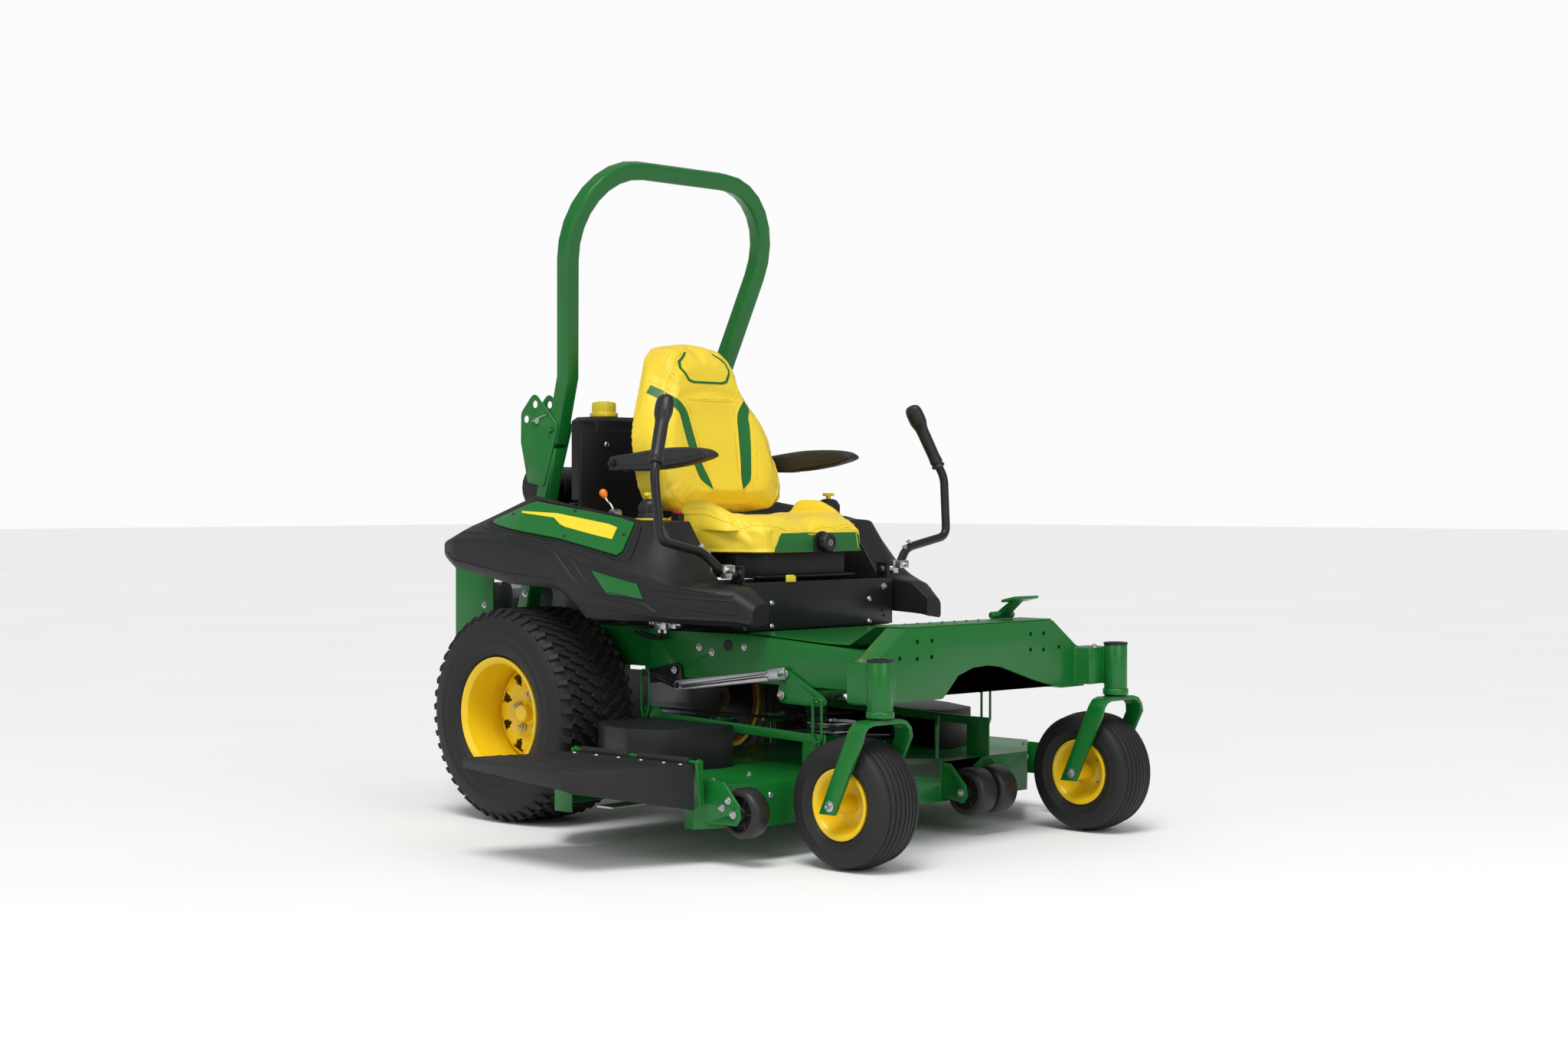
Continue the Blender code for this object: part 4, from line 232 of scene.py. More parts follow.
def finish(name, base, second, rough, spreadBy, metal=0.0, coat=0.0, coatRough=0.1, patch=3.0, grain=400.0, depth=0.02,
           style="fine", sheen=0.0, dust=None, spec=0.5, grainDistance=0.001):
    made = bpy.data.materials.new(name)
    made.use_nodes = True
    nodes, links = made.node_tree.nodes, made.node_tree.links
    shader = nodes["Principled BSDF"]
    shader.inputs["Metallic"].default_value = metal
    shader.inputs["Coat Weight"].default_value = coat
    shader.inputs["Coat Roughness"].default_value = coatRough
    shader.inputs["Sheen Weight"].default_value = sheen
    shader.inputs["Specular IOR Level"].default_value = spec
    place = nodes.new("ShaderNodeTexCoord")
    blotch = nodes.new("ShaderNodeTexNoise")
    blotch.inputs["Scale"].default_value = patch
    blotch.inputs["Detail"].default_value = 5
    tones = nodes.new("ShaderNodeValToRGB")
    tones.color_ramp.elements[0].position, tones.color_ramp.elements[1].position = 0.35, 0.68
    tones.color_ramp.elements[0].color, tones.color_ramp.elements[1].color = (*base, 1), (*second, 1)
    links.new(place.outputs["Object"], blotch.inputs["Vector"])
    links.new(blotch.outputs["Fac"], tones.inputs["Fac"])
    colour = tones.outputs["Color"]
    small = nodes.new("ShaderNodeTexNoise")
    small.inputs["Scale"].default_value = grain * 0.35
    small.inputs["Detail"].default_value = 3
    links.new(place.outputs["Object"], small.inputs["Vector"])
    if dust:
        # settled in broken patches
        film = nodes.new("ShaderNodeMix")
        film.data_type = "RGBA"
        spots = nodes.new("ShaderNodeValToRGB")
        spots.color_ramp.elements[0].position, spots.color_ramp.elements[1].position = 0.48, 0.8
        spots.color_ramp.elements[0].color, spots.color_ramp.elements[1].color = (0, 0, 0, 1), (0.6, 0.6, 0.6, 1)
        links.new(small.outputs["Fac"], spots.inputs["Fac"])
        links.new(spots.outputs["Color"], film.inputs[0])
        links.new(colour, film.inputs[6])
        film.inputs[7].default_value = (*dust, 1)
        colour = film.outputs[2]
    links.new(colour, shader.inputs["Base Color"])
    glossRange = nodes.new("ShaderNodeMapRange")
    glossRange.inputs["To Min"].default_value = rough - spreadBy
    glossRange.inputs["To Max"].default_value = rough + spreadBy
    links.new(small.outputs["Fac"], glossRange.inputs["Value"])
    links.new(glossRange.outputs["Result"], shader.inputs["Roughness"])
    bump = nodes.new("ShaderNodeBump")
    bump.inputs["Strength"].default_value = depth
    bump.inputs["Distance"].default_value = grainDistance
    if style == "leather":
        cells = nodes.new("ShaderNodeTexVoronoi")
        cells.feature = "DISTANCE_TO_EDGE"
        cells.inputs["Scale"].default_value = grain
        links.new(place.outputs["Object"], cells.inputs["Vector"])
        crease = nodes.new("ShaderNodeMapRange")
        crease.inputs["From Max"].default_value = 0.12
        links.new(cells.outputs["Distance"], crease.inputs["Value"])
        links.new(crease.outputs["Result"], bump.inputs["Height"])
    elif style == "brushed":
        streak = nodes.new("ShaderNodeMapping")
        streak.inputs["Scale"].default_value = (6, 90, 90)
        links.new(place.outputs["Object"], streak.inputs["Vector"])
        lines = nodes.new("ShaderNodeTexNoise")
        lines.inputs["Scale"].default_value = 14
        links.new(streak.outputs["Vector"], lines.inputs["Vector"])
        links.new(lines.outputs["Fac"], bump.inputs["Height"])
    else:
        tiny = nodes.new("ShaderNodeTexNoise")
        tiny.inputs["Scale"].default_value = grain
        tiny.inputs["Detail"].default_value = 2
        links.new(place.outputs["Object"], tiny.inputs["Vector"])
        links.new(tiny.outputs["Fac"], bump.inputs["Height"])
    links.new(bump.outputs["Normal"], shader.inputs["Normal"])
    looks[name] = made


finish("greenPaint", (0.004, 0.128, 0.018), (0.006, 0.15, 0.022), 0.33, 0.05, coat=0.22, coatRough=0.12, grain=260,
       depth=0.05, spec=0.3)
finish("yellowPaint", (0.8, 0.53, 0.006), (0.84, 0.57, 0.008), 0.34, 0.05, coat=0.25, grain=300, depth=0.05, spec=0.4)
finish("yellowVinyl", (0.83, 0.6, 0.022), (0.86, 0.64, 0.028), 0.46, 0.06, grain=330, depth=0.16, style="leather",
       sheen=0.08,
       grainDistance=0.0006)
finish("greenVinyl", (0.006, 0.12, 0.018), (0.008, 0.14, 0.024), 0.42, 0.06, grain=330, depth=0.16, style="leather",
       grainDistance=0.0006)
finish("stitchThread", (0.42, 0.3, 0.012), (0.5, 0.36, 0.016), 0.7, 0.1, grain=1500, depth=0.4)
finish("podPlastic", (0.0105, 0.0108, 0.0115), (0.014, 0.0143, 0.015), 0.46, 0.07, grain=700, depth=0.35, spec=0.3)
finish("blackPlastic", (0.01, 0.01, 0.011), (0.014, 0.014, 0.015), 0.42, 0.07, grain=520, depth=0.22, spec=0.3)
finish("armPad", (0.011, 0.011, 0.012), (0.015, 0.015, 0.016), 0.52, 0.06, grain=420, depth=0.25, style="leather",
       grainDistance=0.0006)
finish("blackSheet", (0.009, 0.009, 0.01), (0.012, 0.012, 0.013), 0.36, 0.06, coat=0.12, grain=420, depth=0.1, spec=0.3)
finish("tyreRubber", (0.0125, 0.0125, 0.013), (0.017, 0.017, 0.0175), 0.6, 0.1, grain=260, depth=0.25,
       dust=(0.022, 0.0215, 0.021), spec=0.3)
finish("chuteRubber", (0.014, 0.014, 0.015), (0.019, 0.019, 0.02), 0.5, 0.08, grain=420, depth=0.3, spec=0.3)
finish("brightSteel", (0.5, 0.5, 0.51), (0.62, 0.62, 0.63), 0.3, 0.08, metal=1.0, style="brushed", depth=0.1)
finish("castMetal", (0.17, 0.175, 0.18), (0.23, 0.235, 0.24), 0.5, 0.1, metal=0.85, grain=240, depth=0.45)
finish("darkMetal", (0.03, 0.03, 0.032), (0.045, 0.045, 0.047), 0.45, 0.1, metal=0.7, grain=260, depth=0.3)
finish("redPlastic", (0.62, 0.012, 0.016), (0.68, 0.016, 0.022), 0.36, 0.05, grain=420, depth=0.12)
finish("orangePlastic", (0.88, 0.22, 0.012), (0.92, 0.25, 0.016), 0.36, 0.05, grain=420, depth=0.12)
finish("stripeYellow", (0.84, 0.66, 0.02), (0.86, 0.69, 0.025), 0.34, 0.04, coat=0.3, grain=420, depth=0.06)
finish("grip", (0.012, 0.012, 0.0125), (0.016, 0.016, 0.0165), 0.4, 0.06, grain=620, depth=0.18, spec=0.4)
finish("holeShade", (0.003, 0.003, 0.003), (0.004, 0.004, 0.004), 0.8, 0.1, grain=420, depth=0.05, spec=0.1)
print("finishes made:", len(looks))


# ---- drive wheels ----
drive = {"radius": 0.305, "y": 0.445, "steps": 96, "rows": 46}
shoulder = [(0.1502, 0.109), (0.153, 0.115), (0.169, 0.1205), (0.172, 0.1285), (0.186, 0.1375), (0.205, 0.1432),
            (0.2075, 0.1446), (0.21, 0.1436), (0.232, 0.145), (0.2345, 0.1459), (0.237, 0.1448), (0.256, 0.142),
            (0.274, 0.1345), (0.286, 0.1235), (0.2915, 0.108), (0.2945, 0.07), (0.2965, 0.03)]


def lug(bm, across, along, wide, long, lean, top, deep=0.012):
    # one tread block, long across the tyre, leaning and standing on the crown
    turn = Matrix.Translation((along, across, top - deep / 2)) @ Matrix.Rotation(lean, 4, "Z")
    made = bmesh.ops.create_cube(bm, size=1, matrix=turn @ Matrix.Diagonal((wide, long, deep, 1)))["verts"]
    high = [v for v in made if v.co.z > top - deep / 2]
    edges = [e for e in {e for v in high for e in v.link_edges} if all(v in high for v in e.verts)]
    bmesh.ops.bevel(bm, geom=edges, offset=0.0016, offset_type="OFFSET", segments=1, profile=0.5, affect="EDGES",
                    clamp_overlap=True, material=-1)


def driveTyre(label, side):
    bm = bmesh.new()
    half = shoulder + [(0.297, 0.0)]
    profile = half + [(r, -h) for r, h in shoulder[::-1]]
    lathe(bm, profile + [(0.1502, -0.05), (0.1502, 0.05)], (0, 0, 0), (0, 1, 0), drive["steps"], closed=True)
    tread = bmesh.new()
    pitch = 2 * math.pi * drive["radius"] / drive["rows"]
    for flank in (1, -1):
        lug(tread, flank * 0.017, 0.0, 0.0135, 0.035, flank * 0.62, 0.3046)
        lug(tread, flank * 0.053, 0.013, 0.014, 0.035, flank * 0.5, 0.3034)
        lug(tread, flank * 0.088, 0.024, 0.015, 0.033, flank * 0.38, 0.3004)
        lug(tread, flank * 0.034, pitch * 0.52, 0.0085, 0.027, flank * 0.6, 0.3036)
        lug(tread, flank * 0.072, pitch * 0.52 + 0.014, 0.0085, 0.025, flank * 0.45, 0.3018)
        edge = bmesh.new()
        lug(edge, 0.0, 0.03, 0.017, 0.03, flank * 0.18, 0.008, 0.016)
        lean = Matrix.Translation((0, flank * 0.1175, 0.2862)) @ Matrix.Rotation(flank * -0.62, 4, "X")
        bmesh.ops.transform(edge, matrix=lean, verts=edge.verts)
        addTo(tread, edge)
    bmesh.ops.spin(tread, geom=tread.verts[:] + tread.edges[:] + tread.faces[:], cent=(0, 0, 0), axis=(0, 1, 0),
                   angle=2 * math.pi * (drive["rows"] - 1) / drive["rows"], steps=drive["rows"] - 1, use_duplicate=True)
    addTo(bm, tread)
    bmesh.ops.translate(bm, vec=(0, side * drive["y"], drive["radius"]), verts=bm.verts)
    settle(f"drive_tyre_{label}_tread", bm, "tyreRubber", f"drive_wheel_{label}",
           (f"drive_tyre_{label}",), 40)


def driveRim(label, side):
    spot = Vector((0, side * drive["y"], drive["radius"]))
    bm = bmesh.new()
    bore = 0.1455
    barrel = [(bore, -0.118), (bore, -0.06), (0.14, -0.05), (0.138, -0.01), (0.138, 0.022), (0.1405, 0.05),
              (bore, 0.062),
              (bore, 0.112), (0.1475, 0.12), (0.153, 0.1245), (0.158, 0.1295), (0.1625, 0.131), (0.166, 0.129),
              (0.1665, 0.124), (0.163, 0.1205), (0.157, 0.118), (0.1515, 0.1155), (0.1498, 0.11), (0.1498, -0.11),
              (0.1515, -0.1155), (0.16, -0.119), (0.166, -0.122), (0.164, -0.13), (0.156, -0.127)]
    lathe(bm, barrel, spot, (0, side, 0), drive["steps"], closed=True)
    # the dished disc with eight windows, cut from the turned sheet before it gets its thickness
    disc = bmesh.new()
    line = [(0.1392, -0.004), (0.134, 0.004), (0.129, 0.01), (0.123, 0.014), (0.116, 0.017), (0.109, 0.019),
            (0.102, 0.02),
            (0.095, 0.02), (0.088, 0.019), (0.082, 0.016), (0.074,
                                                            0.009), (0.066, 0.005), (0.056, 0.004), (0.03, 0.004)]
    dots = [disc.verts.new((r, 0, h)) for r, h in line]
    path = [disc.edges.new(pair) for pair in zip(dots, dots[1:])]
    bmesh.ops.spin(disc, geom=dots + path, cent=(0, 0, 0), axis=(0, 0, 1), angle=2 * math.pi, steps=96, use_merge=True)
    bmesh.ops.remove_doubles(disc, verts=disc.verts, dist=1e-6)
    gone = []
    for face in disc.faces:
        middle = face.calc_center_median()
        reach = math.hypot(middle.x, middle.y)
        turn = math.degrees(math.atan2(middle.y, middle.x)) % 45
        share = (reach - 0.082) / 0.041
        if 0 < share < 1 and abs(turn - 22.5) < 3.5 + 10 * share:
            gone.append(face)
    bmesh.ops.delete(disc, geom=gone, context="FACES")
    bmesh.ops.recalc_face_normals(disc, faces=disc.faces)
    bmesh.ops.solidify(disc, geom=disc.faces[:], thickness=0.0045)
    bmesh.ops.transform(disc, matrix=facing(spot, (0, side, 0)), verts=disc.verts)
    addTo(bm, disc)
    hub = [(0, 0.046), (0.02, 0.046), (0.024, 0.043), (0.0255, 0.02), (0.034, 0.014), (0.036, 0.006), (0.036, -0.028),
           (0, -0.028)]
    lathe(bm, hub, spot, (0, side, 0), 48)
    settle(f"drive_rim_{label}_dish", bm, "yellowPaint", f"drive_wheel_{label}",
           (f"drive_rim_{label}",))
    nuts = bmesh.new()
    for k in range(5):
        angle = 2 * math.pi * k / 5 + 0.3
        at = spot + Vector((0.053 * math.cos(angle), side * 0.0085, 0.053 * math.sin(angle)))
        rod(nuts, at, (0, side, 0), 0.0125, 0.003, 20, 0.0008)
        rod(nuts, at + Vector((0, side * 0.002, 0)), (0, side, 0), 0.0095, 0.01, 6, 0.0012)
        rod(nuts, at + Vector((0, side * 0.011, 0)), (0, side, 0), 0.0055, 0.008, 12, 0.0008)
    settle(f"wheel_nuts_{label}", nuts, "brightSteel", f"drive_wheel_{label}")
    stem = bmesh.new()
    tube(stem, [spot + Vector((0.112, side * 0.028, 0.068)), spot + Vector((0.106, side * 0.045, 0.064)),
                spot + Vector((0.1, side * 0.058, 0.06))], 0.004)
    settle(f"valve_{label}", stem, "tyreRubber", f"drive_wheel_{label}")


# ---- caster wheels and forks ----
caster = {"x": 1.2936, "y": 0.4886, "radius": 0.165, "steps": 80}


def casterTyre(label, side):
    side1 = [(0.0785, 0.048), (0.08, 0.053), (0.091, 0.056), (0.0935, 0.061), (0.103, 0.067), (0.115, 0.0718),
             (0.1165, 0.073),
             (0.118, 0.0722), (0.13, 0.0728), (0.142, 0.0705), (0.152, 0.065), (0.157, 0.058)]
    ribs = []
    for groove in (-0.046, -0.031, -0.0155, 0.0, 0.0155, 0.031, 0.046):
        top = lambda h: 0.1649 - 3.4 * h * h
        ribs += [(top(groove), groove - 0.0022), (top(groove) - 0.0035, groove - 0.0012),
                 (top(groove) - 0.0035, groove + 0.0012),
                 (top(groove), groove + 0.0022)]
    profile = [(r, -h) for r, h in side1] + ribs + side1[::-1]
    bm = bmesh.new()
    lathe(bm, profile, (caster["x"], side * caster["y"], caster["radius"]), (0, 1, 0), caster["steps"], closed=True)
    settle(f"caster_tyre_{label}_ribbed", bm, "tyreRubber", f"caster_wheel_{label}",
           (f"caster_tyre_{label}",), 40)


def casterRim(label, side):
    spot = Vector((caster["x"], side * caster["y"], caster["radius"]))
    half = [(0.0085, 0.08), (0.02, 0.08), (0.0218, 0.078), (0.022, 0.026), (0.026, 0.017), (0.034, 0.012),
            (0.046, 0.01),
            (0.056, 0.013), (0.062, 0.022), (0.066, 0.036), (0.0705, 0.045), (0.074, 0.056), (0.079, 0.061),
            (0.085, 0.064),
            (0.0895, 0.0625), (0.0903, 0.058), (0.087, 0.055), (0.0805, 0.0525), (0.0778, 0.048)]
    bm = bmesh.new()
    lathe(bm, half + [(r, -h) for r, h in half[::-1]], spot, (0, 1, 0), caster["steps"], closed=True)
    settle(f"caster_rim_{label}_dish", bm, "yellowPaint", f"caster_wheel_{label}",
           (f"caster_rim_{label}",))
    trim = bmesh.new()
    for way in (1, -1):
        for k in range(4):
            angle = math.pi / 4 + math.pi / 2 * k
            pinHead(trim, spot + Vector((0.043 * math.cos(angle), way * 0.009, 0.043 * math.sin(angle))), (0, way, 0),
                    0.0045, 0.004)
    settle(f"caster_bolts_{label}", trim, "brightSteel", f"caster_wheel_{label}")


def casterFork(label, side):
    easedCopy(f"caster_fork_{label}", "greenPaint", f"fork_{label}", 0.0028)
    nuts = bmesh.new()
    y = side * caster["y"]
    for way in (1, -1):
        hexHead(nuts, (caster["x"], y + way * 0.0966, caster["radius"]), (0, way, 0), 0.017)
    settle(f"fork_nuts_{label}", nuts, "brightSteel", f"fork_{label}")
    seal = bmesh.new()
    spot = (caster["x"] + 0.081, y, 0.3768)
    lathe(seal, [(0.0205, 0.0), (0.031, 0.0), (0.031, 0.0026), (0.0205, 0.004)], spot, (0, 0, 1), 40, closed=True)
    settle(f"fork_seal_{label}", seal, "blackPlastic", f"fork_{label}")


for label, side in sides.items():
    driveTyre(label, side)
    driveRim(label, side)
    casterTyre(label, side)
    casterRim(label, side)
    casterFork(label, side)
print("wheels made")


# ---- frame, roll bar and the plain metal work ----
# node, finish, body and how far its edges are eased
easedPieces = [
    ("frame_rails", "greenPaint", "mower", 0.0035), ("front_beam", "greenPaint", "mower", 0.0035),
    ("rear_guard", "greenPaint", "mower", 0.002), ("rops_post_left", "greenPaint", "mower", 0.0022),
    ("rops_post_right", "greenPaint", "mower", 0.0022), ("rops_hoop", "greenPaint", "roll_bar", 0.0022),
    ("seat_base", "blackSheet", "mower", 0.0016), ("seat_suspension", "blackSheet", "suspension", 0.0016),
    ("seat_pan", "blackPlastic", "seat", 0.003), ("back_shell", "blackPlastic", "backrest", 0.0024),
    ("transmissions", "castMetal", "mower", 0.003), ("engine_block", "castMetal", "mower", 0.002),
    ("engine_covers", "blackPlastic", "mower", 0.004), ("oil_tank", "blackPlastic", "mower", 0.005),
    ("lever_base_left", "brightSteel", "lever_pivot_left", 0.001),
    ("lever_base_right", "brightSteel", "lever_pivot_right", 0.001), ("deck_shell", "greenPaint", "deck", 0.0016),
    ("belt_cover_left", "blackPlastic", "deck", 0.003), ("belt_cover_right", "blackPlastic", "deck", 0.003),
    ("lift_front", "greenPaint", "front_bellcranks", 0.001), ("lift_rear", "blackSheet", "rear_bellcranks", 0.001),
    ("link_bar_left", "brightSteel", "links", 0.0012), ("link_bar_right", "brightSteel", "links", 0.0012),
    ("lift_pedal", "greenPaint", "pedal", 0.0012), ("clutch_pulley", "darkMetal", "clutch", 0.0012, "cast_metal"),
    ("drive_belt", "tyreRubber", "deck", 0.0008), ("buckle_button", "redPlastic", "release_button", 0.0012),
    ("discharge_chute", "chuteRubber", "chute", 0.002), ("belt_buckle", "blackPlastic", "seat", 0.002),
    ("belt_reel", "blackPlastic", "seat", 0.002), ("foot_platform", "greenPaint", "mower", 0.0012)
]
for node, look, body, width, *slot in easedPieces:
    easedCopy(node, look, body, width, *slot)
for name, body in (("left", "blade_left"), ("centre", "blade_centre"), ("right", "blade_right")):
    easedCopy(f"spindle_{name}", "brightSteel", body, 0.001)
print("metal work eased")


# ---- side pods ----
pod = {"wall": 0.0035, "ridgeSlope": -0.17, "ridgeY": 0.44, "ridgeZ": 0.938, "beltY": 0.505, "beltZ": 0.843,
       "console": 0.861}


def podRows():
    # x, then the section from the inner foot over the top to the under edge, as (y, z) pairs
    ridge = lambda x: (pod["ridgeY"], pod["ridgeZ"] + pod["ridgeSlope"] * x)
    belt = lambda x: (pod["beltY"], pod["beltZ"] + pod["ridgeSlope"] * x)
    top = pod["console"]
    return [
        (-0.33, [(0.345, 0.745), (0.345, 0.795), (0.4, 0.795), (0.44, 0.812), (0.49, 0.8), (0.505, 0.79),
                 (0.505, 0.755), (0.49, 0.738)]),
        (-0.26, [(0.345, 0.722), (0.345, 0.82), (0.4, 0.82), (0.44, 0.847), (0.505, 0.82), (0.53, 0.8), (0.53, 0.735),
                 (0.515, 0.715)]),
        (0.01, [(0.345, 0.68), (0.345, 0.868), (0.4, 0.868), ridge(0.01), belt(0.01), (0.545, 0.805), (0.545, 0.7),
                (0.53, 0.672)]),
        (0.22, [(0.33, 0.672), (0.33, 0.864), (0.405, 0.864), ridge(0.22), belt(0.22), (0.55, 0.775), (0.55, 0.69),
                (0.53, 0.665)]),
        (0.33, [(0.325, 0.604), (0.325, top), (0.41, top), ridge(0.33), belt(0.33), (0.55, 0.745), (0.55, 0.63),
                (0.53, 0.592)]),
        (0.448, [(0.325, 0.602), (0.325, top), (0.415, top), ridge(0.448), belt(0.448), (0.545, 0.73), (0.545, 0.62),
                 (0.525, 0.59)]),
        (0.53, [(0.325, 0.6), (0.325, top - 0.003), (0.4, top - 0.003), (0.425, 0.853), (0.5, 0.745), (0.53, 0.715),
                (0.53, 0.61), (0.51, 0.59)]),
        (0.585, [(0.325, 0.6), (0.325, 0.78), (0.395, 0.78), (0.42, 0.779), (0.49, 0.725), (0.517, 0.7),
                 (0.517, 0.605), (0.497, 0.588)]),
        (0.645, [(0.325, 0.598), (0.325, 0.697), (0.39, 0.697), (0.41, 0.696), (0.475, 0.693), (0.495, 0.685),
                 (0.495, 0.6), (0.48, 0.585)]),
        (0.772, [(0.325, 0.592), (0.325, 0.682), (0.358, 0.682), (0.37, 0.681), (0.395, 0.675), (0.41, 0.66),
                 (0.41, 0.595), (0.4, 0.58)]),
        (0.832, [(0.325, 0.588), (0.325, 0.64), (0.35, 0.64), (0.36, 0.639), (0.375, 0.635), (0.386, 0.62),
                 (0.386, 0.585), (0.38, 0.578)]),
    ]


def roundCorner(before, corner, after, radius, steps=4):
    a, b, c = Vector(before), Vector(corner), Vector(after)
    reach = min(radius, (a - b).length * 0.45, (c - b).length * 0.45)
    start, end = b + (a - b).normalized() * reach, b + (c - b).normalized() * reach
    return [start.lerp(b, k / steps).lerp(b.lerp(end, k / steps), k / steps) for k in range(steps + 1)]


def podShape(side):
    rows = podRows()
    sections = []
    for (x0, first), (x1, second) in zip(rows, rows[1:]):
        count = max(1, round((x1 - x0) / 0.022))
        for k in range(count):
            t = k / count
            sections.append((x0 + (x1 - x0) * t, [tuple(Vector(p).lerp(Vector(q), t)) for p, q in zip(first, second)]))
    sections.append(rows[-1])
    bm = bmesh.new()
    loops = []
    radii = [0, 0.008, 0.01, 0.016, 0.016, 0.012, 0.012, 0]
    for x, section in sections:
        dots = [section[0]]
        for k in range(1, len(section) - 1):
            dots += roundCorner(section[k - 1], section[k], section[k + 1], radii[k])
        dots.append(section[-1])
        verts = [bm.verts.new((x, side * y, z)) for y, z in dots]
        loops.append([bm.edges.new(pair) for pair in zip(verts, verts[1:])])
    for one, other in zip(loops, loops[1:]):
        bmesh.ops.bridge_loops(bm, edges=one + other)
    for loop in (loops[0], loops[-1]):
        # the two ends are closed
        verts = [loop[0].verts[0]] + [e.verts[1] for e in loop]
        ends = bm.faces.new(verts)
        bmesh.ops.triangulate(bm, faces=[ends])
    bmesh.ops.recalc_face_normals(bm, faces=bm.faces)
    away = sum((f.normal.dot(f.calc_center_median() - Vector((0.2, side * 0.43, 0.72))) for f in bm.faces))
    if away < 0:
        bmesh.ops.reverse_faces(bm, faces=bm.faces)
    # keep the long creases soft, and even out the lengthwise kinks in the skin
    inner = [v for v in bm.verts if abs(v.co.y) > 0.46 and -0.25 < v.co.x < 0.8 and v.co.z > 0.6]
    for _ in range(3):
        bmesh.ops.smooth_vert(bm, verts=inner, factor=0.4, use_axis_x=False, use_axis_y=True, use_axis_z=True)
    return bm


def skinTree(bm):
    return BVHTree.FromBMesh(bm)


def skinSpot(tree, spot, way, lift=0.0, reach=2.0):
    start = Vector(spot) - Vector(way) * reach
    hit, normal, _, _ = tree.ray_cast(start, Vector(way))
    if hit is None:
        return None
    if normal.dot(Vector(way)) > 0:
        normal = -normal
    return hit + normal * lift


def ribOn(bm, tree, spots, way, radius, lift=0.0, steps=8):
    line = [p for p in (skinSpot(tree, s, way, lift) for s in smoothLine(spots, steps)) if p]
    if len(line) > 2:
        tube(bm, line, radius, 3)


def patchOn(tree, outline, axis, way, lift, thick, cell=0.008, soft=0.0):
    # a flat outline laid onto a skin, seen along one axis
    part = bmesh.new()
    place = {"x": lambda u, v: (0, u, v), "y": lambda u, v: (u, 0, v)}[axis]
    part.faces.new([part.verts.new(place(u, v)) for u, v in outline])
    for k in (0 if axis == "y" else 1, 2):
        spots = [v.co[k] for v in part.verts]
        low, high = min(spots), max(spots)
        normal = [0, 0, 0]
        normal[k] = 1
        count = max(1, int((high - low) / cell))
        for step in range(1, count):
            spot = [0, 0, 0]
            spot[k] = low + (high - low) * step / count
            bmesh.ops.bisect_plane(part, geom=part.verts[:] + part.edges[:] + part.faces[:], plane_co=spot,
                                   plane_no=normal, dist=1e-6)
    lost = []
    for vert in part.verts:
        found = skinSpot(tree, vert.co, way, lift)
        if found:
            vert.co = found
        else:
            lost.append(vert)
    bmesh.ops.delete(part, geom=lost, context="VERTS")
    bmesh.ops.recalc_face_normals(part, faces=part.faces)
    if sum(f.normal.dot(Vector(way)) for f in part.faces) > 0:
        bmesh.ops.reverse_faces(part, faces=part.faces)
    bmesh.ops.solidify(part, geom=part.faces[:], thickness=thick)
    softenEdges(part, soft, 2, 50)
    return part


